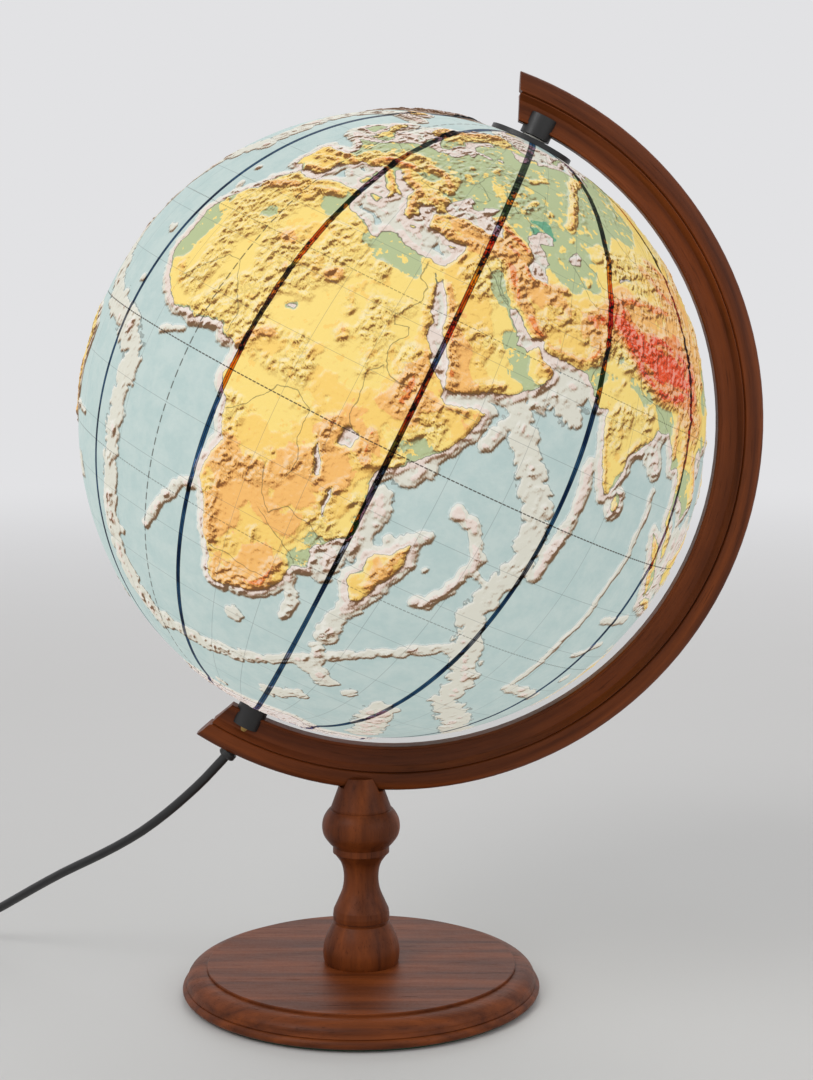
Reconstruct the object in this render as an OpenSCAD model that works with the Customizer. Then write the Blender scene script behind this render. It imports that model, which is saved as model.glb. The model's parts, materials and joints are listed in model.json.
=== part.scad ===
// Illuminated globe on a turned wooden stand. Millimetres, +Z up.
// The origin is the middle of the underside. The polar axis leans towards +X in the XZ plane.

/* [Ball] */
// Outer diameter of the ball, over its printed gores
ball_d = 320; // [300:1:340]
// Lean of the polar axis from the vertical, in degrees
tilt = 26.2; // [23:0.1:28]
// Distance of the ball's centre from the post's axis
ball_offset = 16.6; // [12:0.1:20]
// Wall of the two half shells
shell_wall = 2.2; // [1.8:0.1:3]
// Thickness of a printed gore
gore_t = 0.6; // [0.5:0.05:0.8]
// Gap between the gores and the shells
gore_gap = 0.2; // [0.15:0.05:0.3]
// Width of the joining ring inside the equator
ring_w = 18; // [12:1:26]
// Thickness of the joining ring
ring_t = 2; // [1.5:0.1:3]
// Diameter of the cap over the north pole
cap_d = 44; // [36:1:50]
// Thickness of that cap
cap_t = 2.5; // [1.5:0.1:3]

/* [Bow] */
// Gap between the ball and the inside of the bow
bow_gap = 7.6; // [7:0.1:9]
// Depth of the bow's section, from its inside to its outside
bow_depth = 23.6; // [22:0.1:26]
// Thickness of the bow over its ridges
bow_w = 15; // [14:0.1:17]
// Thickness of the thin inner zone
bow_web = 10; // [9:0.1:11]
// How far the inner corner of each end passes the polar axis
end_past = 10.8; // [10:0.1:12]
// Slant of each end's cut against the polar axis, in degrees
end_slant = 24; // [15:1:30]
// Depth of the small notch across each end
notch_d = 1.5; // [1:0.1:2]

/* [Hubs] */
// Diameter of the hubs between the ball and the bow
hub_d = 16; // [14:0.5:18]
// How deep a hub is let into the bow
hub_seat = 7.4; // [6:0.1:9]
// Diameter of the north pivot pin
pin_d = 4; // [3:0.5:5]
// Depth of the pivot pin in the bow beyond the hub
pin_grip = 11; // [8:0.5:12]
// Diameter of the north bearing bush
bush_d = 12; // [10:0.5:13]
// Diameter of the flanges inside the ball
flange_d = 22; // [20:0.5:26]
// Thickness of those flanges
flange_t = 2; // [1.5:0.1:3]
// Running clearance of the bearings, on the radius
run_fit = 0.05; // [0.02:0.01:0.1]
// Gap between the turning ball and the fixed hubs
thrust_gap = 0.3; // [0.2:0.05:0.5]
// Thickness of the thrust washer
thrust_t = 1; // [0.8:0.1:1.5]

/* [Stand] */
// Largest diameter of the base
base_d = 189.6; // [180:0.2:220]
// Diameter of the raised plate on the base
plate_d = 163.8; // [150:0.2:170]
// Height of the base with its baize
base_h = 15.8; // [14:0.1:22]
// Thickness of the baize under the base
baize_t = 1.5; // [1:0.1:2.5]
// Height of the post from the base to the bow's seat
post_h = 94.5; // [80:0.5:130]
// Height of the fork's lips above the seat
lip_h = 6.2; // [4:0.1:7]
// Diameter of the post's tenon in the base
tenon_d = 16; // [14:0.5:20]
// Length of that tenon
tenon_l = 5; // [3:0.1:6]
// Clearance of wood joints, on the radius
wood_fit = 0.1; // [0.05:0.01:0.2]
// Diameter of the tie bolt
bolt_d = 6; // [5:0.5:7]
// Diameter of the recess under the base for the bolt's head
recess_d = 26; // [22:1:32]
// Depth of that recess above the baize
recess_h = 5; // [4.5:0.1:6]
// Diameter of the threaded insert in the bow
insert_d = 9; // [8:0.1:9.4]
// Length of that insert
insert_l = 11.5; // [8:0.1:12]

/* [Lamp] */
// Outer diameter of the threaded stem
stem_d = 10; // [9:0.5:11]
// Bore of the stem
stem_bore = 7.2; // [6.5:0.1:7.6]
// Depth of the stem in the bow beyond the hub
stem_grip = 9; // [7:0.5:9.5]
// Diameter of the bulb's globe
bulb_d = 45; // [35:1:60]
// Length of the bulb from its top to its contact
bulb_l = 78; // [74:1:90]
// Diameter of the bulb's screw cap
cap_screw_d = 13.8; // [13:0.1:14]
// Length of the bulb's screw cap
cap_screw_l = 17; // [15:1:20]
// Outer diameter of the lampholder
holder_d = 28; // [26:0.5:32]
// Wall of the lampholder
holder_wall = 1.8; // [1.5:0.1:2.5]
// Length of the lampholder's sleeve
sleeve_l = 30; // [28:1:34]
// Length of the lampholder's cup
cup_l = 18; // [16:1:24]

/* [Cord] */
// Diameter of the cord
cord_d = 5; // [4.6:0.1:5.2]
// Slant of the cord's gland against the polar axis, in degrees
gland_slant = 13.8; // [8:0.1:16]
// Diameter of the gland's flange
gland_d = 9.2; // [8:0.1:10]
// Length of the gland's flange
gland_l = 3.4; // [2:0.1:4]
// Distance between turns of the coil
turn_step = 5.5; // [5.4:0.1:6]
// Radius of the coil's inmost turn
coil_in_r = 20.6; // [19:0.1:24]
// Turns from the outside of the coil to its inside
turns_in = 3.5; // [2.5:1:4.5]
// Turns back out again on the second layer
turns_out = 3; // [2:1:4]

/* [Switch and plug] */
// Length of the switch in the cord
switch_l = 60; // [56:1:70]
// Width of the switch
switch_w = 24; // [23:1:30]
// Height of the switch
switch_h = 16; // [15.5:0.5:18]
// Wall of the switch's housing
switch_wall = 1.8; // [1.5:0.1:2.2]
// Length of the rocker
rocker_l = 20; // [16:1:22]
// Width of the rocker
rocker_w = 11; // [9:0.5:12]
// Half of the rocker's travel, in degrees
rocker_half = 8; // [6:1:9]
// Width of the plug
plug_w = 35; // [33:1:37]
// Thickness of the plug
plug_t = 15; // [14:0.5:16]
// Length of the plug's body without its pins
plug_l = 32; // [30:1:36]
// Diameter of a plug pin
plug_pin_d = 4; // [3.8:0.1:4.8]
// Length of a plug pin
plug_pin_l = 19; // [17:1:20]
// Distance between the two plug pins
plug_pin_step = 19; // [18:0.5:20]

/* [Hidden] */
$fn = 96;

wood = [0.42, 0.23, 0.12];
steel = [0.72, 0.72, 0.74];
brass = [0.80, 0.62, 0.28];
black = [0.05, 0.05, 0.055];
cream = [0.90, 0.87, 0.78];

// Sizes that follow from the ones above
ball_r = ball_d / 2;
shell_r = ball_r - gore_t - gore_gap;
bow_in = ball_r + bow_gap;
bow_out = bow_in + bow_depth;
seat_z = base_h + post_h;
ball_z = seat_z + sqrt(bow_out * bow_out - ball_offset * ball_offset);
post_drawn_h = 94.5;
gore_count = 12;
gore_angle = 360 / gore_count;
// The edge of the first gore, which nearly faces -Y, is the 40 degree meridian
gore_start = -89.4;
seam_gap = 0.1;
hub_end = bow_in + hub_seat;
hub_r = hub_d / 2;
cap_top = ball_r + gore_gap + cap_t;
north_face = cap_top + 0.8;
south_face = ball_r + 1.8;
south_bush_d = stem_d + 6;
collar_d = 20;
flange_out = sqrt(pow(shell_r - shell_wall - 0.1, 2) - pow(flange_d / 2, 2));
collar_in = ball_r + gore_gap;
screw_fit = 0.05;
part_fit = 0.1;
far = 400;
cut = 1;

// The lamp, measured from the ball's centre towards the south pole
bulb_tip = bulb_l - bulb_d / 2;
cap_top_s = bulb_tip - cap_screw_l;
core_top = bulb_tip + 1.5;
core_h = 8;
sleeve_top = cap_top_s - 3;
sleeve_end = sleeve_top + sleeve_l;
cup_end = sleeve_end + cup_l;
cup_floor = 3;
nut_t = 3;
nut_af = 14;
stem_top = cup_end - cup_floor - nut_t - 1.5;
stem_end = hub_end + stem_grip;

// The gland and the cord's exit
gland_root = stem_end + 2;
gland_seat = 5.6;
gland_shank_d = cord_d + 1.8;
axis_u = [sin(tilt), 0, cos(tilt)];
gland_u = [-sin(tilt + gland_slant), 0, -cos(tilt + gland_slant)];
ball_c = [ball_offset, 0, ball_z];
gland_p = ball_c - gland_root * axis_u;
cord_exit = gland_p + (gland_seat + gland_l) * gland_u;

// Places of the switch, the coil and the plug on the table
switch_x = -286;
switch_y = 8;
entry_z = 7.5;
switch_lamp_y = switch_y + switch_l / 2;
switch_plug_y = switch_y - switch_l / 2;
coil_out_r = coil_in_r + turn_step * turns_in;
coil_c = [switch_x + coil_out_r, switch_plug_y - 40];
tie_t = 0.5;
coil_z = cord_d / 2 + tie_t + 0.1;
climb_dip = 0.65;
relief_l = 12;
plug_x = coil_c[0] - coil_in_r - turn_step * turns_out;
plug_y = coil_c[1] - 34;
plug_z = plug_t / 2;
plug_pin_root_d = plug_pin_d - 1.2;

// The cord's own route from the gland to the switch, chosen by hand
CORD_POINTS = [
    [-82, 2, 115], [-92, 5, 105], [-104, 9, 94], [-118, 15, 82.5], [-133, 23, 72],
    [-149, 32, 62], [-166, 43, 51.5], [-185, 56, 38.5], [-204, 69, 25], [-220, 80, 14.5],
    [-234, 87, 7.5], [-248, 91, 3.6], [-261, 92, 2.6], [-274, 88, 2.6], [-283, 79, 2.8],
    [-286, 67, 3.8], [-286, 55, 5.8]
];

// Plain helpers
function unit(v) = v / norm(v);
function mix(a, b, t) = a + (b - a) * t;
function arc(cx, cy, rx, ry, a0, a1, n = 10) = [
    for (i = [0:n]) [cx + rx * cos(mix(a0, a1, i / n)), cy + ry * sin(mix(a0, a1, i / n))]
];

// One point of a smooth curve through four neighbours, between the middle two
function between(a, b, c, d, t) =
    0.5 * (2 * b + (c - a) * t + (2 * a - 5 * b + 4 * c - d) * t * t
    + (3 * b - a - 3 * c + d) * t * t * t);
function smooth(p, n) = [
    for (i = [0:len(p) - 2])
        for (k = [0:n - 1])
            between(p[max(i - 1, 0)], p[i], p[i + 1], p[min(i + 2, len(p) - 1)], k / n),
    p[len(p) - 1]
];

// A closed tube of the given sides along a line of points, kept upright
function along(p, i) = unit(p[min(i + 1, len(p) - 1)] - p[max(i - 1, 0)]);
function sideways(t) = unit(cross(t, [0, 0, 1]));
module tube(p, d, sides) {
    last = len(p) - 1;
    points = [
        for (i = [0:last])
            let (t = along(p, i), s = sideways(t), w = cross(s, t))
                for (k = [0:sides - 1])
                    let (a = 360 * (k + 0.5) / sides + 90)
                        p[i] + d / 2 * (cos(a) * s + sin(a) * w)
    ];
    walls = [
        for (i = [0:last - 1])
            for (k = [0:sides - 1])
                let (a = i * sides + k, b = i * sides + (k + 1) % sides)
                    each [[a, b, b + sides], [a, b + sides, a + sides]]
    ];
    ends = [
        for (k = [1:sides - 2])
            each [[0, k + 1, k], [last * sides, last * sides + k, last * sides + k + 1]]
    ];
    polyhedron(points, concat(walls, ends), convexity = 10);
}

// Everything on the polar axis is drawn with +Z towards the north pole
module on_axis() {
    translate(ball_c) rotate([0, tilt, 0]) children();
}

// A ring or disc between two places on the polar axis, with a bore if inner is above 0
module axial(from, to, outer, inner = 0) {
    translate([0, 0, from]) difference() {
        cylinder(h = to - from, r = outer);
        if (inner > 0) translate([0, 0, -cut]) cylinder(h = to - from + 2 * cut, r = inner);
    }
}

// The stand
module base_outline() {
    plate_r = plate_d / 2;
    bead = 2.35;
    low = baize_t;
    polygon(concat(
        [[0, low]],
        arc(base_d / 2 - bead, low + bead, bead, bead, -90, 90),
        [[base_d / 2 - 2, low + 2 * bead + 0.4], [base_d / 2 - 2.5, base_h - 7.5]],
        arc(plate_r + 0.9, base_h - 7.5, base_d / 2 - 2.5 - plate_r - 0.9, 6, 0, 90),
        [[plate_r, base_h - 1.5], [plate_r, base_h - 0.4], [plate_r - 0.4, base_h], [0, base_h]]
    ));
}
module base() {
    color(wood) difference() {
        rotate_extrude($fn = 128) base_outline();
        translate([0, 0, base_h - tenon_l - wood_fit])
            cylinder(h = tenon_l + cut, r = tenon_d / 2 + wood_fit);
        translate([0, 0, baize_t - cut]) cylinder(h = recess_h + cut, r = recess_d / 2);
        cylinder(h = base_h, r = bolt_d / 2 + 0.25);
    }
}
module base_baize() {
    color([0.10, 0.22, 0.13]) cylinder(h = baize_t, r = base_d / 2 - 4);
}

// The turned outline of the post, from the base upwards, for a height of post_drawn_h
POST_FOOT = [[19.4, 0], [20.1, 2.4], [20.3, 6.2], [19.8, 10], [18.4, 15], [16.4, 19.2], [15, 21.8]];
POST_BEAD = [[14.1, 22.2], [14.1, 23], [14.9, 23.6], [15, 26], [14.6, 29]];
POST_NECK = [
    [14.6, 29], [12.1, 34.5], [10, 39.8], [9.2, 45.2], [9.5, 50.2], [10.7, 54.4], [12.7, 57.4],
    [14.3, 59.4]
];
POST_BULB = [
    [15.2, 63.4], [17.7, 66.2], [19.9, 69.7], [20.6, 74], [19.9, 78.2], [18.2, 81.4], [16.7, 83.2]
];
POST_CONE = [[15.8, 83.4], [15.7, 84.6]];
cone_top_r = 9.9;
module post_outline() {
    k = post_h / post_drawn_h;
    drawn = concat(
        smooth(POST_FOOT, 4), POST_BEAD, smooth(POST_NECK, 4), [[14.9, 59.8], [14.9, 63.1]],
        smooth(POST_BULB, 4), POST_CONE
    );
    polygon(concat(
        [[0, base_h]],
        [for (p = drawn) [p[0], base_h + p[1] * k]],
        [[cone_top_r, seat_z + lip_h], [0, seat_z + lip_h]]
    ));
}
module post() {
    color(wood) difference() {
        union() {
            rotate_extrude() post_outline();
            translate([0, 0, base_h - tenon_l]) cylinder(h = tenon_l + cut, r = tenon_d / 2);
        }
        translate([ball_offset, 0, ball_z]) rotate([90, 0, 0])
            cylinder(h = bow_w + 2 * wood_fit, r = bow_out + wood_fit / 2, center = true, $fn = 360);
        cylinder(h = seat_z + lip_h, r = bolt_d / 2 + 0.25);
    }
}
head_h = 3;
washer_t = 1.2;
washer_z = baize_t + recess_h - washer_t;
insert_z = seat_z + 0.8;
module tie_bolt() {
    color(steel) {
        difference() {
            translate([0, 0, washer_z - head_h]) cylinder(h = head_h, r = bolt_d * 0.9);
            translate([0, 0, washer_z - head_h - cut]) cylinder(h = 2 + cut, r = bolt_d * 0.45, $fn = 6);
        }
        translate([0, 0, washer_z - cut / 2]) cylinder(h = insert_z + insert_l - 1 - washer_z, r = bolt_d / 2);
    }
}
module tie_washer() {
    color(steel) axial(washer_z, washer_z + washer_t, bolt_d * 1.7, bolt_d / 2 + 0.2);
}
module bow_insert() {
    color(brass) axial(insert_z, insert_z + insert_l, insert_d / 2, bolt_d / 2 + screw_fit);
}

// The bow: half of its section, from the inside outwards, as depth and half thickness
module bow_section() {
    w = bow_w / 2;
    web = bow_web / 2;
    crest = 2.5;
    ridge = 12.7;
    half = concat(
        arc(0.9, web - 0.7, 0.9, 1.1, 180, 20, 6),
        [[2.1, web - 0.3], [4.2, web - 0.55], [6.6, web - 0.5], [8.6, web - 0.2], [9.8, web]],
        [[ridge, w], [ridge + 0.3, w - 0.1], [ridge + 0.7, w - 1.2], [ridge + 1.2, w - 0.35]],
        arc(ridge + 1.5, crest, bow_depth - ridge - 1.5, w - crest, 90, 0, 12)
    );
    backwards = [for (i = [len(half) - 1:-1:0]) [half[i][0], -half[i][1]]];
    translate([bow_in, 0]) polygon(concat(half, backwards));
}
// What lies past the slanted cut of the north end, with the notch across it
module past_end() {
    translate([-end_past, 0, sqrt(bow_in * bow_in - end_past * end_past)]) rotate([0, -end_slant, 0]) {
        translate([-60, -30, -40]) cube([60, 60, 100]);
        translate([0, 0, 14.4]) rotate([0, 45, 0]) cube([notch_d, 60, notch_d], center = true);
    }
}
module bow() {
    reach = 98;
    color(wood) difference() {
        on_axis() difference() {
            rotate([90, 0, 0]) rotate([0, 0, -reach]) rotate_extrude(angle = 2 * reach, $fn = 360) bow_section();
            past_end();
            mirror([0, 0, 1]) past_end();
            axial(bow_in - 10, hub_end, hub_r + wood_fit);
            axial(hub_end - cut, hub_end + pin_grip + 0.3, pin_d / 2 + screw_fit);
            mirror([0, 0, 1]) {
                axial(bow_in - 10, hub_end, hub_r + wood_fit);
                axial(hub_end - cut, stem_end + 0.3, stem_d / 2 + wood_fit);
                axial(stem_end, gland_root + cord_d / 2 + wood_fit, gland_shank_d / 2 + screw_fit);
            }
            gland_axis() {
                translate([0, 0, -gland_seat]) cylinder(h = gland_seat, r = gland_shank_d / 2 + screw_fit);
                translate([0, 0, -far / 8]) cylinder(h = far / 8 - gland_seat, r = gland_d / 2 + screw_fit);
            }
        }
        translate([0, 0, seat_z - 5]) cylinder(h = 5 + insert_z + insert_l - seat_z + 0.3, r = insert_d / 2 + screw_fit);
    }
}

// The hubs and bearings on the polar axis
module north_pin() {
    color(steel) on_axis() axial(shell_r - 7, hub_end + pin_grip, pin_d / 2);
}
module north_hub() {
    color(black) on_axis() axial(north_face + thrust_gap, hub_end, hub_r, pin_d / 2 + screw_fit);
}
module south_hub() {
    color(black) on_axis() mirror([0, 0, 1])
        axial(south_face + thrust_gap + thrust_t, hub_end, hub_r, stem_d / 2 + screw_fit);
}
module thrust_washer() {
    color([0.9, 0.9, 0.88]) on_axis() mirror([0, 0, 1])
        axial(south_face + thrust_gap, south_face + thrust_gap + thrust_t, hub_r - 0.3, stem_d / 2 + screw_fit);
}

// The lamp inside the ball, drawn with +Z towards the south pole
module lampward() {
    on_axis() mirror([0, 0, 1]) children();
}
module lamp_stem() {
    color(brass) lampward() axial(stem_top, stem_end, stem_d / 2, stem_bore / 2);
}
nut_s = cup_end - cup_floor - nut_t;
module stem_locknut() {
    color(brass) lampward() difference() {
        translate([0, 0, nut_s]) cylinder(h = nut_t, r = nut_af / sqrt(3), $fn = 6);
        translate([0, 0, nut_s - cut]) cylinder(h = nut_t + 2 * cut, r = stem_d / 2 + screw_fit);
    }
}
module holder_cup() {
    r = holder_d / 2;
    color(black) lampward() difference() {
        rotate_extrude() polygon(concat(
            [[0, sleeve_end], [r, sleeve_end]],
            arc(r - 5, cup_end - 5, 5, 5, 0, 90),
            [[0, cup_end]]
        ));
        axial(sleeve_end - cut, cup_end - cup_floor, r - holder_wall);
        axial(sleeve_end - cut, cup_end + cut, stem_d / 2 + screw_fit);
    }
}
module holder_sleeve() {
    color(black) lampward() union() {
        axial(sleeve_top, sleeve_end, holder_d / 2, holder_d / 2 - holder_wall);
        axial(sleeve_top, sleeve_top + 2, holder_d / 2, cap_screw_d / 2 + 1.6);
    }
}
module holder_core() {
    color(cream) lampward() difference() {
        axial(core_top, core_top + core_h, holder_d / 2 - holder_wall - part_fit);
        for (s = [-1, 1]) translate([s * 8.5, 0, core_top - cut])
            cylinder(h = core_h + 2 * cut, r = 1.5 + screw_fit);
        axial(core_top - cut, core_top + 2, 4);
    }
}
shell_t = 0.5;
module holder_screw_shell() {
    r = cap_screw_d / 2 + 0.2;
    color(brass) lampward() union() {
        axial(sleeve_top + 2.4, core_top, r + shell_t, r);
        axial(core_top - shell_t, core_top, r + shell_t, 4);
    }
}
module holder_contact() {
    color(brass) lampward() union() {
        axial(bulb_tip + 0.3, core_top + 2, 1.6);
        axial(core_top + 1.4, core_top + 2, 3.6);
    }
}
module holder_terminals() {
    color(brass) lampward() for (s = [-1, 1]) translate([s * 8.5, 0, 0]) {
        axial(core_top + 1, core_top + core_h + 3.5, 1.5);
        axial(core_top + core_h, core_top + core_h + 2.5, 2.6);
    }
}
module bulb_cap() {
    color(steel) lampward() difference() {
        axial(cap_top_s, bulb_tip - 2, cap_screw_d / 2);
        axial(cap_top_s - cut, bulb_tip - 2.6, cap_screw_d / 2 - 0.5);
        axial(cap_top_s, bulb_tip, 3);
    }
}
module bulb_contact() {
    color([0.6, 0.58, 0.55]) lampward() union() {
        axial(bulb_tip - 2.6, bulb_tip - 0.8, 2.9);
        axial(bulb_tip - 0.9, bulb_tip, 1.8);
    }
}
glass_t = 0.8;
neck_r = cap_screw_d / 2 - 0.7;
module bulb_profile(less) {
    r = bulb_d / 2 - less;
    nr = neck_r - less;
    a = asin(neck_r / (bulb_d / 2)) + 22;
    polygon(concat(
        [[0, -r]],
        arc(0, 0, r, r, -90, 90 - a, 30),
        [[nr + 1.6, cap_top_s - 7], [nr, cap_top_s - 2.5], [nr, cap_top_s + 3], [0, cap_top_s + 3]]
    ));
}
module bulb_glass() {
    color([1, 0.98, 0.9, 0.5]) lampward() difference() {
        rotate_extrude() bulb_profile(0);
        rotate_extrude() bulb_profile(glass_t);
        axial(cap_top_s, cap_top_s + 4, neck_r - glass_t);
    }
}
mount_r = 1.6;
wire_y = 9.6;
wire_gap = 0.05;
module bulb_mount() {
    color([0.9, 0.95, 1, 0.6]) lampward() union() {
        axial(4, cap_top_s, mount_r);
        axial(cap_top_s, cap_top_s + 4, neck_r - glass_t - 0.05);
    }
}
module bulb_filament() {
    color([0.4, 0.4, 0.42]) lampward() union() {
        rotate([90, 0, 0]) cylinder(h = 20, r = 0.6, center = true);
        for (s = [-1, 1]) {
            translate([0, s * wire_y, 0]) cylinder(h = 7.2, r = 0.5);
            translate([0, s * wire_y, 7]) rotate([s * 90, 0, 0]) cylinder(h = wire_y - mount_r - wire_gap, r = 0.5);
        }
    }
}

// The cord, from the lampholder to the plug
module gland_axis() {
    translate([0, 0, -gland_root]) rotate([0, gland_slant, 0]) children();
}
module inner_flex() {
    color(black) on_axis() union() {
        translate([0, 0, -gland_root]) cylinder(h = gland_root - stem_top + 2, r = cord_d / 2);
        translate([0, 0, -gland_root]) sphere(r = cord_d / 2);
        gland_axis() translate([0, 0, -gland_seat - gland_l]) cylinder(h = gland_seat + gland_l, r = cord_d / 2);
    }
}
module cord_gland() {
    color(black) on_axis() gland_axis() difference() {
        union() {
            translate([0, 0, -gland_seat]) cylinder(h = gland_seat - 2, r = gland_shank_d / 2);
            translate([0, 0, -gland_seat - gland_l + 0.8]) cylinder(h = gland_l - 0.8, r = gland_d / 2);
            translate([0, 0, -gland_seat - gland_l])
                cylinder(h = 0.8, r1 = gland_d / 2 - 0.8, r2 = gland_d / 2);
        }
        translate([0, 0, -gland_seat - gland_l - cut]) cylinder(h = gland_seat + gland_l, r = cord_d / 2 + screw_fit);
    }
}
switch_end = [switch_x, switch_lamp_y, entry_z];
LEAD = concat(
    smooth(concat([cord_exit], CORD_POINTS, [switch_end + [0, cord_d + 1.5, 0]]), 2),
    [switch_end + [0, cord_d, 0], switch_end]
);
module cord_lead() {
    color(black) tube(concat([LEAD[0], cord_exit + 3 * gland_u], [for (i = [1:len(LEAD) - 1]) LEAD[i]]), cord_d, 10);
}

// The coil spirals in on the table, climbs in half a turn, and spirals out above itself
ring_step = 15;
function ease(t) = t * t * (3 - 2 * t);
function coil_point(a) =
    let (
        turn_a = 360 * turns_in,
        back_a = turn_a + 180,
        climb = min(max((a - turn_a) / 180, 0), 1),
        r = a < turn_a ? coil_out_r - turn_step * a / 360
            : a < back_a ? coil_in_r - climb_dip * sin(180 * climb)
            : coil_in_r + turn_step * (a - back_a) / 360
    )
    [coil_c[0] - r * cos(a), coil_c[1] - r * sin(a), coil_z + turn_step * climb];
coil_turns = turns_in + 0.5 + turns_out;
top_z = coil_z + turn_step;
COIL_LOOPS = [for (a = [0:ring_step:360 * coil_turns]) coil_point(a)];
COIL_LEAD_IN = [
    for (t = [0:0.2:0.8])
        [switch_x, mix(switch_plug_y - cord_d, coil_c[1], t), mix(entry_z, coil_z, ease(t))]
];
COIL_LEAD_OUT = [
    for (t = [0.25:0.25:1]) [plug_x, mix(coil_c[1] - 22, plug_y + cord_d, t), mix(top_z, plug_z, ease(t))]
];
COIL = concat(
    [[switch_x, switch_plug_y, entry_z]], COIL_LEAD_IN, COIL_LOOPS,
    [[plug_x, coil_c[1] - 11, top_z], [plug_x, coil_c[1] - 22, top_z]],
    COIL_LEAD_OUT, [[plug_x, plug_y, plug_z]]
);
// The least gap between one stretch of the coil and another, over half a turn away
apart = 10;
coil_gap = min([
    for (i = [0:len(COIL) - 1])
        for (k = [i + apart:1:len(COIL) - 1])
            norm(COIL[i] - COIL[k])
]) - cord_d;
function length_of(p) = let (steps = [for (i = [1:len(p) - 1]) norm(p[i] - p[i - 1])]) steps * [for (s = steps) 1];
echo(coil_gap = coil_gap, coil_turns = coil_turns, lead_length = length_of(LEAD), coil_length = length_of(COIL));
echo(ball_c = ball_c, axis_u = axis_u, cord_exit = cord_exit, switch_end = switch_end, coil_c = coil_c);
echo(plug_x = plug_x, plug_y = plug_y, coil_z = coil_z, gland_u = gland_u);
module cord_coil() {
    color(black) tube(COIL, cord_d, 6);
}
module cord_tie() {
    side_room = 1.4;
    inner_w = coil_out_r - coil_in_r + cord_d + 2 * side_room;
    inner_h = 2 * cord_d + turn_step - cord_d + 0.9;
    color([0.12, 0.12, 0.13]) translate([coil_c[0], coil_c[1], 0]) rotate([0, 0, 40])
        translate([(coil_out_r + coil_in_r) / 2, 0, 0]) difference() {
            translate([0, 0, inner_h / 2 + tie_t]) cube([inner_w + 2 * tie_t, 9, inner_h + 2 * tie_t], center = true);
            translate([0, 0, inner_h / 2 + tie_t]) cube([inner_w, 9 + cut, inner_h], center = true);
        }
}

// The switch in the cord, drawn with its length along X
split_z = entry_z;
pivot_z = 10.6;
pivot_r = 1.2;
rib_t = 1.6;
rocker_gap = 0.4;
screw_x = switch_l / 2 - 7;
screw_y = switch_w / 2 - 5.5;
module at_switch() {
    translate([switch_x, switch_y, 0]) rotate([0, 0, 90]) children();
}
module rounded(l, w, r) {
    square([l - 2 * r, w], center = true);
    square([l, w - 2 * r], center = true);
    for (sx = [-1, 1], sy = [-1, 1]) translate([sx * (l / 2 - r), sy * (w / 2 - r)]) circle(r);
}
module switch_housing(low, high) {
    translate([0, 0, low]) linear_extrude(high - low) rounded(switch_l, switch_w, 6);
}
module switch_hollow(low, high) {
    translate([0, 0, low]) linear_extrude(high - low)
        rounded(switch_l - 2 * switch_wall, switch_w - 2 * switch_wall, 6 - switch_wall);
}
module switch_screw_places() {
    for (s = [-1, 1]) translate([s * screw_x, s * screw_y, 0]) children();
}
module switch_base() {
    color(black) at_switch() difference() {
        union() {
            difference() {
                switch_housing(0, split_z);
                switch_hollow(switch_wall, split_z + cut);
            }
            switch_screw_places() cylinder(h = split_z, r = 3.4);
        }
        switch_screw_places() {
            translate([0, 0, -cut]) cylinder(h = split_z + 2 * cut, r = 1.3);
            translate([0, 0, -cut]) cylinder(h = cut + 2, r = 2.7);
        }
    }
}
module switch_cover() {
    window_l = rocker_l + 3;
    color(black) at_switch() difference() {
        union() {
            difference() {
                switch_housing(split_z, switch_h);
                switch_hollow(split_z - cut, switch_h - switch_wall);
            }
            switch_screw_places() translate([0, 0, split_z]) cylinder(h = switch_h - split_z - 1, r = 3.4);
            for (s = [-1, 1]) translate([0, s * (rocker_w / 2 + rocker_gap + rib_t / 2), (pivot_z - 2.6 + switch_h) / 2])
                cube([9, rib_t, switch_h - pivot_z + 2.6], center = true);
        }
        translate([0, 0, switch_h]) cube([window_l, rocker_w + 2 * rocker_gap, 8], center = true);
        translate([0, 0, pivot_z]) rotate([90, 0, 0]) cylinder(h = switch_w - 4, r = pivot_r + run_fit, center = true);
        switch_screw_places() translate([0, 0, split_z - cut]) cylinder(h = 5 + cut, r = 1.05);
    }
}
module switch_rocker() {
    l = rocker_l / 2;
    top = switch_h - pivot_z + 1.6;
    color([0.06, 0.06, 0.065]) at_switch() translate([0, 0, pivot_z]) rotate([0, rocker_half, 0]) union() {
        rotate([90, 0, 0]) linear_extrude(rocker_w, center = true) polygon([
            [-l, top + 1.2], [-l, 1.4], [-3.2, -1.6], [3.2, -1.6], [l, 1.4], [l, top + 1.2], [0, top - 0.6]
        ]);
        rotate([90, 0, 0]) cylinder(h = rocker_w + 2 * (rocker_gap + rib_t), r = pivot_r, center = true);
    }
}
module switch_contacts() {
    floor_z = switch_wall;
    color(brass) at_switch() {
        for (s = [-1, 1]) translate([s * 12, 5.6, floor_z + 2.5]) difference() {
            cube([7, 4.6, 5], center = true);
            rotate([0, 90, 0]) cylinder(h = 8, r = 1, center = true);
        }
        translate([0, -5, floor_z + 0.4]) cube([24, 4, 0.8], center = true);
        translate([0, -5, floor_z + 2]) cube([3, 4, 3.2], center = true);
    }
}
module switch_screws() {
    color(steel) at_switch() switch_screw_places() union() {
        translate([0, 0, 0.3]) cylinder(h = 1.7, r = 2.5);
        translate([0, 0, 1.9]) cylinder(h = split_z + 4.5 - 1.9, r = 1);
    }
}

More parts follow.
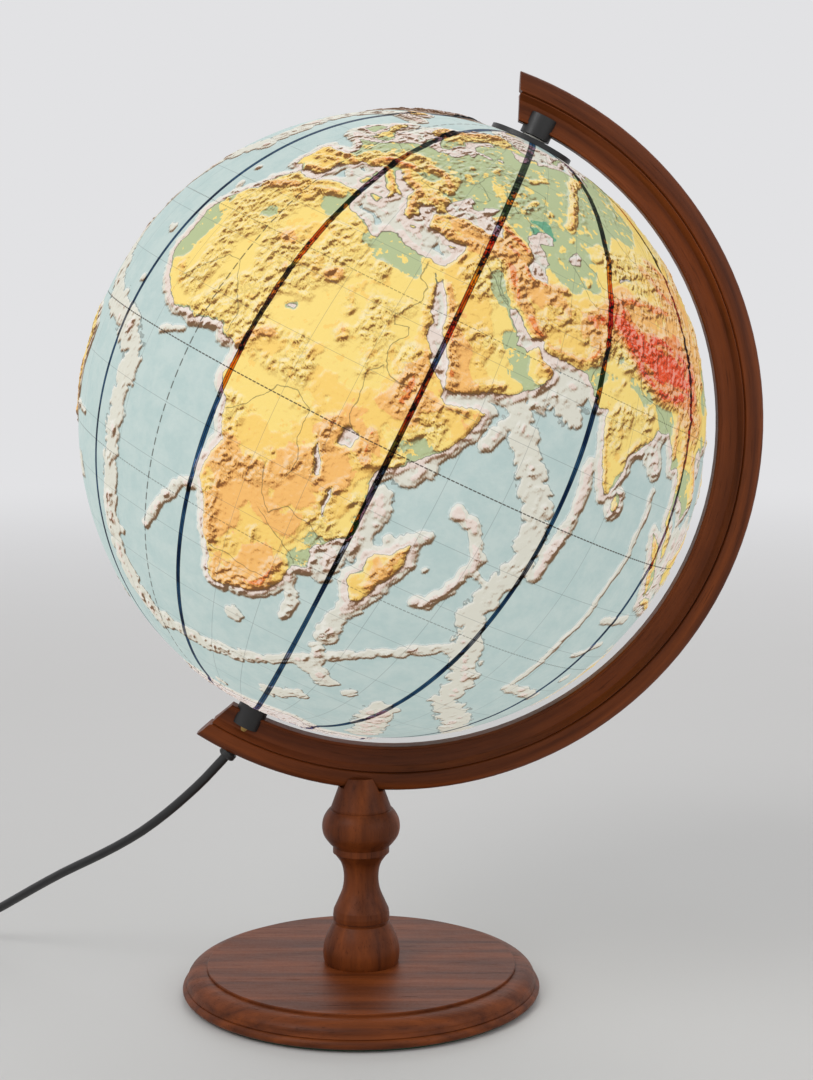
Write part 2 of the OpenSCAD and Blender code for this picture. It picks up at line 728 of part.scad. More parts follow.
// The plug, with its pins towards -Y
module plug_body() {
    w = plug_w / 2;
    t = plug_t / 2;
    neck = 5.5;
    color(black) difference() {
        union() {
            intersection() {
                translate([plug_x, plug_y - relief_l, 0]) linear_extrude(plug_t)
                    polygon([
                        [-neck, 0], [neck, 0], [w - 3, -10], [w, -16], [w, -plug_l + 3], [w - 3, -plug_l],
                        [3 - w, -plug_l], [-w, -plug_l + 3], [-w, -16], [3 - w, -10]
                    ]);
                translate([plug_x, plug_y - relief_l, plug_z]) rotate([90, 0, 0]) linear_extrude(plug_l)
                    polygon([[-w, 0], [4 - w, t], [w - 4, t], [w, 0], [w - 4, -t], [4 - w, -t]]);
            }
            translate([plug_x, plug_y, plug_z]) rotate([90, 0, 0]) cylinder(h = relief_l + 1, r1 = cord_d / 2 + 1, r2 = 5);
        }
        for (s = [-1, 1]) translate([plug_x + s * plug_pin_step / 2, plug_y - relief_l - plug_l + 8, plug_z])
            rotate([90, 0, 0]) cylinder(h = 9, r = plug_pin_root_d / 2 + screw_fit);
    }
}
module plug_pins() {
    tip = 2;
    color(steel) for (s = [-1, 1])
        translate([plug_x + s * plug_pin_step / 2, plug_y - relief_l - plug_l, plug_z]) rotate([90, 0, 0]) union() {
            translate([0, 0, -7.9]) cylinder(h = 7.9 + cut, r = plug_pin_root_d / 2);
            cylinder(h = plug_pin_l - tip, r = plug_pin_d / 2);
            translate([0, 0, plug_pin_l - tip]) cylinder(h = tip, r1 = plug_pin_d / 2, r2 = plug_pin_d / 2 - 1);
        }
}

// The turning ball
module half_shell(way) {
    hole = way > 0 ? bush_d / 2 : south_bush_d / 2;
    color(cream) on_axis() mirror([0, 0, way > 0 ? 0 : 1]) difference() {
        sphere(r = shell_r, $fn = 180);
        sphere(r = shell_r - shell_wall, $fn = 180);
        translate([0, 0, -far / 2]) cube([far, far, far], center = true);
        axial(0, far / 2, hole + screw_fit);
    }
}
module north_shell() {
    half_shell(1);
}
module south_shell() {
    half_shell(-1);
}
module equator_ring() {
    r = shell_r - shell_wall - part_fit;
    color(cream) on_axis() difference() {
        intersection() {
            sphere(r = r, $fn = 180);
            cylinder(h = ring_w, r = far / 2, center = true);
        }
        sphere(r = r - ring_t, $fn = 180);
    }
}
module north_cap() {
    low = ball_r + gore_gap;
    color(black) on_axis() difference() {
        intersection() {
            sphere(r = low + cap_t, $fn = 180);
            cylinder(h = far / 2, r = cap_d / 2);
        }
        sphere(r = low, $fn = 180);
        axial(0, far / 2, bush_d / 2 + screw_fit);
    }
}
module north_bush() {
    color(cream) on_axis() difference() {
        union() {
            axial(flange_out - flange_t, north_face, bush_d / 2);
            axial(flange_out - flange_t, flange_out, flange_d / 2);
        }
        axial(flange_out - flange_t - cut, far / 2, pin_d / 2 + run_fit);
    }
}
module south_bush() {
    color(cream) lampward() difference() {
        union() {
            axial(flange_out - flange_t, south_face, south_bush_d / 2);
            axial(flange_out - flange_t, flange_out, flange_d / 2);
            axial(collar_in, south_face, collar_d / 2);
        }
        axial(flange_out - flange_t - cut, far / 2, stem_d / 2 + run_fit);
    }
}

// One printed gore, a thin lune between two meridians
module gore(k) {
    start = gore_start + gore_angle * (k - 1);
    half_gap = seam_gap / 2;
    color([0.66, 0.79, 0.83]) on_axis() intersection() {
        difference() {
            sphere(r = ball_r, $fn = 180);
            sphere(r = ball_r - gore_t, $fn = 180);
            axial(0, far / 2, bush_d / 2 + 0.4);
            axial(-far / 2, 0, south_bush_d / 2 + 0.4);
        }
        rotate([0, 0, start + gore_angle / 2]) translate([half_gap / sin(gore_angle / 2), 0, -far / 2])
            linear_extrude(far) polygon([
                [0, 0],
                [far / 2 * cos(gore_angle / 2), far / 2 * sin(gore_angle / 2)],
                [far / 2 * cos(gore_angle / 2), -far / 2 * sin(gore_angle / 2)]
            ]);
    }
}

base();
base_baize();
post();
tie_bolt();
tie_washer();
bow_insert();
bow();
north_pin();
north_hub();
south_hub();
thrust_washer();
lamp_stem();
stem_locknut();
holder_cup();
holder_sleeve();
holder_core();
holder_screw_shell();
holder_contact();
holder_terminals();
bulb_cap();
bulb_contact();
bulb_glass();
bulb_mount();
bulb_filament();
inner_flex();
cord_gland();
cord_lead();
cord_coil();
cord_tie();
switch_base();
switch_cover();
switch_rocker();
switch_contacts();
switch_screws();
plug_body();
plug_pins();
north_shell();
south_shell();
equator_ring();
north_cap();
north_bush();
south_bush();
gore(1);  // gore_01
gore(2);  // gore_02
gore(3);  // gore_03
gore(4);  // gore_04
gore(5);  // gore_05
gore(6);  // gore_06
gore(7);  // gore_07
gore(8);  // gore_08
gore(9);  // gore_09
gore(10);  // gore_10
gore(11);  // gore_11
gore(12);  // gore_12
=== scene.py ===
"""Looks of the illuminated globe: its embossed map, wooden stand, cords, camera and light."""

import json
import logging
import math
from collections.abc import Callable
from dataclasses import dataclass
from enum import Enum
from itertools import product
from typing import Any

import bpy
import numpy as np
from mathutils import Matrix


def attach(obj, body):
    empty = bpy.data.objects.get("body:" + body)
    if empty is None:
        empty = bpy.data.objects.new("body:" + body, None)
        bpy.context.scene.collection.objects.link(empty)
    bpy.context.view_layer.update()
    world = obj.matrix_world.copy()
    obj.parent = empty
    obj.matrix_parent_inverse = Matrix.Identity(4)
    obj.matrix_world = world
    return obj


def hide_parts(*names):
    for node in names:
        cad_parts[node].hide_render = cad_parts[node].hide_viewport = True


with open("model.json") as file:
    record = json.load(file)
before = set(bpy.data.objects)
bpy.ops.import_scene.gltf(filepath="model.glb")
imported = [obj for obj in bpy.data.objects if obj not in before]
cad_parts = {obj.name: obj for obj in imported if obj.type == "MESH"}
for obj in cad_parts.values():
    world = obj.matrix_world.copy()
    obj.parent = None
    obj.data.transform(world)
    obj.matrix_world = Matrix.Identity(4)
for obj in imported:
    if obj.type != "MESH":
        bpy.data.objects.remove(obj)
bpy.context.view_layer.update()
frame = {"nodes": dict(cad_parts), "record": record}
log = logging.getLogger("globe")

Point = tuple[float, float, float]
Colour = tuple[float, float, float, float]
Array = np.ndarray
Material = bpy.types.Material
Node = bpy.types.Node
Piece = bpy.types.Object
Socket = bpy.types.NodeSocket
Tree = bpy.types.NodeTree

# Kinds of node tree
SHADER_TREE = "ShaderNodeTree"
GEOMETRY_TREE = "GeometryNodeTree"

# Places shared with the solids, in metres and degrees
BALL_R = 0.160
TILT = math.radians(26.2)
CENTRE = (0.0166, 0.0, 0.300778)
POLE = (math.sin(TILT), 0.0, math.cos(TILT))
BOW_MIDDLE_R = 0.1794
FRONT_MERIDIAN = 129.4
GORE_DEGREES = 30
FIRST_GORE_EDGE = 40

# What a place gets as its distance from a river when none is near
NO_RIVER = 9.0

# Outlines of the land, as longitude and latitude in degrees, east and north positive
LAND = {
    "africa": """-5.9 35.8,-2.9 35.3,-1 35.7,3 36.8,7.5 37,10 37.3,11 37,10.5 35.8,10.2 34.3,11.2 33.2,
        13.3 32.9,15.3 32.3,16.5 31.2,19 30.3,20 30.9,20 32,21.7 32.9,23.2 32.3,25 31.6,28.8 31,
        31 31.5,32.4 31.2,32.6 29.9,33.6 27.8,34 26.5,35.5 24,35.6 22.9,37 21,37.4 18.8,38.5 18,
        39.6 15.5,41.2 14.6,43.2 12.5,43.2 11.5,44.5 10.5,47 11.2,51.2 11.9,51 10.4,49.8 8,48 4.5,
        46 2.3,43.5 0,41.5 -1.9,40.2 -2.9,39.2 -4.8,38.9 -6.5,39.5 -8.8,40.5 -10.6,40.7 -14.5,
        39.8 -16.4,37 -17.8,35.2 -19.7,34.8 -20.8,35.5 -22.2,35.4 -24,33 -25.3,32.7 -27,32.4 -28.5,
        31 -30,30 -31.3,28.2 -32.8,25.8 -33.8,22.5 -34.1,20 -34.8,18.5 -34.2,18 -32.7,17.2 -30.3,
        15.8 -28,15 -26.5,14.4 -23,13.5 -20.8,12 -18,11.8 -16,12.6 -13.4,13.8 -11,13 -9,12.2 -6.1,
        11.8 -4.7,9.5 -2.3,8.8 -0.7,9.6 1,9.8 3.5,8.6 4.6,7 4.3,5.5 4.6,4.4 6.3,1.2 6,-2 4.8,-4.5 5.2,
        -7.5 4.4,-9.5 5.5,-11.4 6.8,-13.2 8.6,-14.9 11,-16.7 12.4,-17.4 14.7,-16.5 16.2,-16.2 19,
        -17 21,-16 23.7,-14.6 26.1,-12.9 27.8,-10.2 29.3,-9.7 31.4,-8.5 33.3,-6.8 34.2""",
    "eurasia": """-5.6 36,-4.4 36.7,-2.2 36.7,-0.7 37.7,0 38.8,-0.3 39.5,0.8 41,3.2 41.9,3.1 43.1,
        4.5 43.4,6.5 43.1,8.9 44.4,10.2 43.9,10.6 42.9,12.2 41.7,14 40.8,15.7 40,16.1 38.8,15.7 38,
        16.6 38.6,17.1 39.2,16.6 39.8,17 40.5,18.4 39.9,18 40.7,16 41.5,16.1 41.9,14.3 42.4,13.5 43.6,
        12.4 44.3,12.3 45.3,13.6 45.6,13.6 45,14.5 45.2,15.2 44.2,16.5 43.5,18.5 42.4,19.5 41.7,
        19.4 40.5,20.2 39.4,21.2 38.4,21.3 37.6,21.7 36.8,22.5 36.5,23.1 36.5,23 37.6,24 37.7,
        23.8 38.3,22.9 39.2,22.8 40.4,24 40.2,24.2 40.7,26 40.8,26.2 40.1,27.5 40.7,29 41.05,29 40.7,
        27.5 40.3,26.3 39.8,26.8 38.5,27.3 37,28.3 36.7,30.5 36.6,32.3 36.1,34 36.3,36 36.7,35.9 35.3,
        35.1 33,34.3 31.3,32.5 31.2,32.6 29.9,33.5 28.2,34.2 27.8,34.9 29.4,35.2 28,37.2 25.5,39 22,
        39.2 20.5,41 18.8,42.6 16.5,42.9 14.5,43.4 12.7,45 12.8,48 14,52 15.6,55 17,57.8 19,58.6 20.5,
        59.8 22.5,58.5 23.7,56.7 24.4,56.3 26.2,55 25.3,54 24.1,51.6 24.2,51.5 25.8,50.8 25.2,50 26.6,
        48.6 28.4,48 29.9,49.5 30.2,50.8 29,51.5 27.8,54 26.7,56.5 27.1,57.2 26,58.7 25.6,61.6 25.1,
        64.5 25.3,66.7 25,67.3 23.9,68.8 22.4,70.4 22.6,69.2 22.2,70.5 20.8,72.2 21.2,72.7 21,72.8 19,
        73.3 17,74.3 14.8,75 12.5,76.2 10,77.5 8.1,78.2 8.9,79.2 10.3,79.9 12,80.3 13.5,80.1 15.6,
        82.2 16.6,84.5 18.5,86.5 20,87 21.5,89 21.7,90.8 22.3,92 21.4,94 18.5,94.4 16,97 17,97.7 15,
        98.7 11.5,98.4 8,100.3 6.3,101.3 3,103.5 1.3,104.2 1.4,103.4 4.2,101.6 6.9,100 8.5,99.3 9.5,
        100 13.3,101 12.7,102.8 11.8,105 8.7,106.8 10.4,109.3 12,108.8 15.3,106 18.8,106.7 20.6,
        108.2 21.6,110.2 20.3,111 21.5,114 22.4,116.8 23.4,119 25.4,121.5 28.5,122 30.8,120.5 33,
        119.2 35,122.5 37,119 37.4,118 39,121.5 40.9,121.2 39,124.3 39.8,125.3 37.7,126.4 34.5,
        129.3 35.4,129.4 37,127.5 39.6,130.7 42.3,133 42.8,136 44.5,140.4 48.5,140.5 52.5,137.5 54,
        135.3 54.8,140 57.7,143 59.3,149 59.5,155 59.3,157 61.6,160 61.8,156.8 58,155.6 55,156.7 51,
        160 53.2,162 55,163 58,164.5 60,170 60,173.7 61.7,177.5 62.6,179.8 64.8,182 64.5,186 65,
        190.3 66,186 67,181 68.8,176 69.7,170 69.8,160 69.7,150 71.5,140 72.5,131 71.5,127 73.2,
        118 73.2,113 74,106 77.3,100 76.3,90 75.5,81 73.5,80 72,75 72.8,74 68.3,72 71.3,68.5 72.3,
        67 69.5,61 69.3,54 68.4,48 67.7,44 66,44 68,41.2 66.6,40 64.6,37 64,35 64.5,32.5 67,37 66.3,
        41 66.8,40 68,33 69.4,29 70.3,25.7 71,20 69.9,16 68.5,13 66,11 64.3,8.5 63.3,5.2 62,5 60,
        5.8 58.8,8 58.1,10.5 59.2,11.5 58.5,12.7 56.3,14.2 55.5,16.2 56.6,16.7 58.5,18.8 60,17.2 61.2,
        18.5 63,21.5 64.5,22.2 65.7,25.2 65,24.8 64.6,21.5 63,21.4 61,23 59.9,27 60.4,30 59.9,
        27.5 59.4,23.5 59.2,24 58.2,24.3 57.2,21.7 57.5,21 56,20.9 55.2,19.7 54.4,18 54.8,14.3 54,
        11 54.1,10.8 55,10.5 57.5,8.2 57,8.5 55,8.7 53.9,5.5 53.3,4 51.8,2.5 51.1,1.5 50.2,0.2 49.6,
        -1.2 49.6,-1.5 48.7,-4.6 48.5,-4.3 47.8,-2 47.1,-1.2 45.5,-1.5 43.4,-4 43.4,-8 43.7,-9.2 43,
        -8.8 41,-9.4 38.8,-8.9 37,-7.3 37.2,-6.3 36.6""",
    "britain": """-5.6 50.1,-3.5 50.3,1.3 51.1,1.7 52.6,0.2 53.2,-1.5 55,-2 57.5,-3.2 58.6,-5 58.6,
        -6.2 56.8,-4.8 54.8,-3 54,-4.5 53.2,-4.2 52.3,-5.2 51.8,-3 51.4,-4.5 51""",
    "ireland": "-6.2 53.3,-6.4 52.2,-10.2 51.7,-9.6 53.3,-8.5 54.9,-6.2 55.2,-5.6 54.4",
    "iceland": "-22 64,-18.5 63.4,-14 64.6,-15 66.3,-20 66,-23.5 66.3,-24 65",
    "corsica": "8.6 42.6,9.5 42.9,9.4 41.4,8.8 41.5",
    "sardinia": "8.2 40.8,9.7 41,9.6 39.2,8.4 39",
    "sicily": "12.5 37.9,15.5 38.2,15.1 36.7,12.8 37.4",
    "crete": "23.6 35.5,26.3 35.3,24 34.9",
    "cyprus": "32.4 35,34.5 35.6,33.8 34.8",
    "svalbard": "11 79.5,17 76.8,21 78.5,26 80,18 80.3",
    "novaya_zemlya": "52 71,56 70.8,58 74,68 76.6,60 76,54 73",
    "severnaya": "95 79,104 79,98 80.9",
    "madagascar": """49.3 -12,50.4 -15.6,49.5 -17.8,48 -22,47.1 -25,45.2 -25.6,43.6 -23.5,43.4 -21.8,
        44.4 -20,44 -17.5,45.2 -16,47.6 -14.8,48.2 -13.6""",
    "ceylon": "79.9 9.4,81.2 8.6,81.8 7,80.6 6,79.8 7",
    "sumatra": "95.3 5.6,98 4.2,100.5 2,103.5 -1,106 -3,105.8 -5.8,104 -5.2,101 -2.5,98.7 1.5,96.5 3.6",
    "java": "105.2 -6.8,106.5 -6,110.8 -6.5,114.3 -7.5,114.3 -8.6,110 -8,106.5 -7.4",
    "lesser_sunda": "115 -8.2,118 -8.2,122.5 -8.3,123 -8.8,119 -8.9,115.2 -8.8",
    "timor": "123.6 -10.3,125.5 -8.8,127.2 -8.4,125.6 -9.4",
    "borneo": """109 1.5,111 1.7,113.2 3.3,115.5 5.4,117 7,119 5.2,117.8 4,118.8 1,117.3 0,116.2 -3.8,
        114.5 -4,111.8 -3.3,110.1 -1.3""",
    "celebes": """119.4 -5.4,120.4 -5.4,120.4 -3,121 -2.8,122.4 -4.5,122 -3,121.4 -1.8,123.3 -0.8,
        120.2 -0.9,120.3 0.5,124.8 1.5,120.9 1.3,119.7 0.1,118.9 -2.8""",
    "new_guinea": """131 -0.8,134 -0.8,135 -3.3,138 -1.7,141 -2.6,145.8 -5,147.8 -6.2,150.7 -10.4,
        147 -9.2,144 -7.7,141 -9.1,138 -8.3,138 -5.5,133 -4,132.7 -2.8""",
    "new_britain": "148.5 -5.6,151.6 -4.2,152.2 -4.6,150.5 -6.3",
    "luzon": "120.3 16,120.7 18.5,122.2 18.5,121.6 15.8,124 12.6,120.6 13.8",
    "mindanao": "122 7,123.5 8.6,125.5 9.7,126.5 7.3,125.4 5.7,124 7.6",
    "formosa": "120.2 23,121.6 25.2,121 22",
    "hainan": "108.7 19.3,110.8 20,109.6 18.3",
    "honshu": """130 31.3,129.8 33.2,132 34,135.5 35.6,137 37.2,139.5 38.5,140 41,141.5 41.3,142 39.5,
        140.8 36,139 34.8,136 33.6,134 33.4,132 33,131.3 31.4""",
    "hokkaido": "140 41.6,140.4 43.3,141.8 45.4,145.3 43.5,143.2 42",
    "sakhalin": "142 46,142 53,143 54.3,143.5 50,143 47",
    "australia": """113.7 -22.5,114.2 -26.3,115.7 -31.8,115.1 -34.3,118 -35,121 -33.9,124 -33,
        128.5 -31.7,131.2 -31.5,134.2 -33,135.9 -34.8,137.8 -32.6,138.3 -35.2,140.6 -38,143.5 -38.8,
        146.4 -39,150 -37.4,151.3 -33.5,153.2 -30,153 -26,150.7 -23,149 -20.4,146.2 -18.8,145.4 -15,
        143.6 -14,142.5 -10.8,141.6 -13,140.9 -17.4,139.3 -17.5,135.7 -15,136.8 -12.2,132.6 -11.4,
        130.8 -12.6,129.4 -15,126 -14,123.5 -17,122.2 -18.1,119 -20""",
    "tasmania": "144.7 -40.8,148.2 -40.9,147.5 -43.4,146 -43.4",
    "zealand_north": "172.8 -34.5,175.5 -36.6,178.4 -37.8,176.9 -39.5,175.2 -41.5,173.9 -39.3,174.8 -38",
    "zealand_south": "172.7 -40.6,174.2 -41.6,172.6 -43.8,170.5 -46,168.4 -46.6,166.7 -45.6,170.5 -43",
    "greenland": """-73 78.5,-66 80.5,-55 82.3,-33 83.5,-20 82,-18 79,-20 75,-24 71,-32 68,-40 65,
        -43.5 60,-48 61,-53 66,-54 70,-58 75,-68 76""",
    "north_america": """-168 65.7,-162 66.5,-166.5 68.3,-156.5 71.3,-141 69.7,-135 69,-128 70.3,
        -115 68.5,-108 68,-96 68,-94 71.5,-90 69,-85 69.5,-82 67.5,-86.5 66.3,-88 64,-94 61.5,
        -94.7 58.7,-88 56.7,-82.3 55.2,-82 52.8,-79 51.5,-79 54.8,-77 57.5,-78 60,-77.5 62.5,-73 62,
        -69.7 61,-69 58.8,-65 60,-62 57.8,-60 55,-56 52.5,-60 50.2,-66 50.2,-70 47.2,-65 48.8,
        -64.5 46.2,-60.5 46.5,-63.5 44.6,-66 43.7,-67 44.8,-70 43.6,-70.7 41.8,-74 40.5,-75.5 38,
        -76 35.2,-79 33.2,-81.3 31.4,-80.1 27,-80.7 25.2,-82.7 27.8,-84 30,-88 30.4,-90 29.2,-94 29.5,
        -97.3 27.5,-97.7 22.5,-96 19.3,-94.3 18.2,-91.3 18.6,-90.4 21,-87 21.4,-88 18.5,-88.7 15.9,
        -83.3 15,-83.7 11,-81.8 9,-79.5 9.5,-77.3 8.6,-77.5 7.5,-80.3 7.4,-83 8.2,-85.8 10.5,
        -87.6 12.9,-92.2 14.5,-95 16,-99 16.7,-105.5 20.2,-106 22.8,-109.4 26,-112.8 30.2,-114.7 31.7,
        -112.5 28.3,-110 24.3,-109.5 23,-112.2 25.2,-115 28,-117 32.4,-120.6 34.6,-122.5 37.5,
        -124.3 40.4,-124 46,-124.6 48.3,-123 49,-128 51.5,-131 55,-135 58.2,-140 59.7,-146 60.8,
        -151.5 59.5,-154 59,-158.5 56,-163.5 54.8,-158 58.6,-162 59,-165 61,-164.5 63,-161 64.5,
        -166 64.6""",
    "baffin": "-62 66.5,-66 62.6,-72 63.8,-78 65,-73 68,-80 70,-90 72,-85 73.7,-77 72.7,-68 70",
    "victoria": "-116 70,-105 69,-102 71.5,-107 73,-118 72",
    "ellesmere": "-90 76.5,-78 76.5,-65 82,-80 83,-92 81",
    "banks": "-125 72,-121 71.3,-118 74,-123 74.3",
    "newfoundland": "-59.3 47.8,-55.6 47,-52.8 47,-53.5 49.2,-55.7 51.5,-57.5 50",
    "cuba": "-84.8 21.9,-82.5 23.1,-77 21.7,-74.3 20.1,-77.6 19.9,-78.5 21",
    "hispaniola": "-74.3 18.4,-72.5 19.9,-68.6 18.7,-71.5 17.9",
    "south_america": """-77.3 8.6,-75.5 10.7,-71.8 12.2,-71.5 10.9,-68 11.5,-64 10.2,-61.9 10.6,
        -60.5 8.5,-57 6,-51.7 4.3,-50 1,-48.5 -1,-44.2 -2.7,-40 -2.9,-37 -4.8,-35.2 -5.6,-34.9 -8,
        -37.2 -11.3,-39 -13.5,-39 -17.5,-41 -21.8,-42 -22.9,-45 -23.6,-48.5 -25.7,-48.7 -28.4,
        -51 -31.5,-53.5 -34,-56.5 -34.8,-57.5 -36,-57.5 -38,-62 -39,-62.5 -41,-65 -41,-64 -42.7,
        -65.5 -45,-67.5 -46.2,-65.8 -47.9,-69 -50.6,-68.5 -52.5,-65.2 -54.7,-69 -55.2,-72.5 -53.5,
        -75.5 -50,-74 -44.5,-73 -41.7,-73.5 -38,-71.6 -33,-71.4 -30,-70.3 -24,-70.2 -18.5,-75.5 -15,
        -79 -8,-81.3 -4.8,-80 -2.8,-80.8 -1,-79 1.8,-77.2 4,-77.5 7.2""",
    "antarctica": """-180 -78.3,-158 -77.5,-140 -75.5,-120 -74,-102 -73.5,-85 -73.2,-75 -72,-68 -68,
        -62 -64.5,-57 -63.3,-60 -66,-61 -70,-61 -75,-50 -77.5,-38 -78,-28 -76,-18 -72.5,-8 -71,5 -70,
        20 -70,35 -69,45 -67.7,55 -66,62 -67.5,70 -68.5,73 -70,78 -68.8,88 -66.8,100 -66,112 -66.2,
        125 -66.8,135 -66.3,145 -67.2,158 -69.2,168 -71.2,165 -74.8,163 -77.8,179.9 -78.3,179.9 -90,
        -180 -90""",
}
LAKES = {
    "black_sea": """29 41.2,31.5 41.2,33.5 42,36 41.7,38.5 41,41.5 41.5,41.3 42.8,39 44,37.5 45,
        38 46.5,39.2 47.2,36.5 46.6,35 46.2,35.2 45.3,33.5 44.5,32.6 45.4,33 46.1,31 46.6,29.7 45.2,
        28.6 43.8,27.9 42.7,28.2 41.6""",
    "caspian": """51 47,53 46.8,53.2 45.2,51 44.8,50.5 44.2,52 42.8,52.8 41.5,53.8 40.8,53 39.5,54 37,
        51.5 36.6,50 37.4,49 38.5,49.4 40.3,48.5 42,47.5 43,47.3 44.8,48.5 46.2""",
    "aral": "58.3 44,60 43.7,61.5 44.5,61.7 46,60 46.7,58.7 45.6",
    "balkhash": "73.6 45.2,76 46.3,79 46.6,79 46.3,76 45.9,74 44.8",
    "baikal": "103.8 51.5,106 52.1,109.7 55.6,109.1 55.6,106.4 53.2",
    "ladoga": "30.2 60.4,32.5 60.4,32 61.5,30.4 61.5",
    "victoria_lake": "31.8 -2.5,34 -2.2,34.2 -0.3,32.5 0.3,31.7 -0.7",
    "tanganyika": "29.1 -3.4,29.8 -4.8,31.2 -8.5,30.5 -8.8,29.2 -6.5,29 -4.5",
    "nyasa": "33.8 -9.6,34.7 -11,34.9 -14,34.3 -13.8,33.9 -11.5",
    "chad": "13.2 12.9,14.8 12.9,14.6 13.9,13.5 13.8",
    "superior": "-92 46.7,-86 46.5,-84.6 47,-88 48.8",
    "michigan": "-87.8 42,-86.3 42.5,-85 45.9,-88 45",
    "huron": "-84 46,-82.5 43,-80 44.5,-81 46",
    "great_bear": "-124 65.5,-119 65.5,-121 67",
    "winnipeg": "-98.5 53.8,-97 51,-96.5 50.6,-97.5 53.8",
}

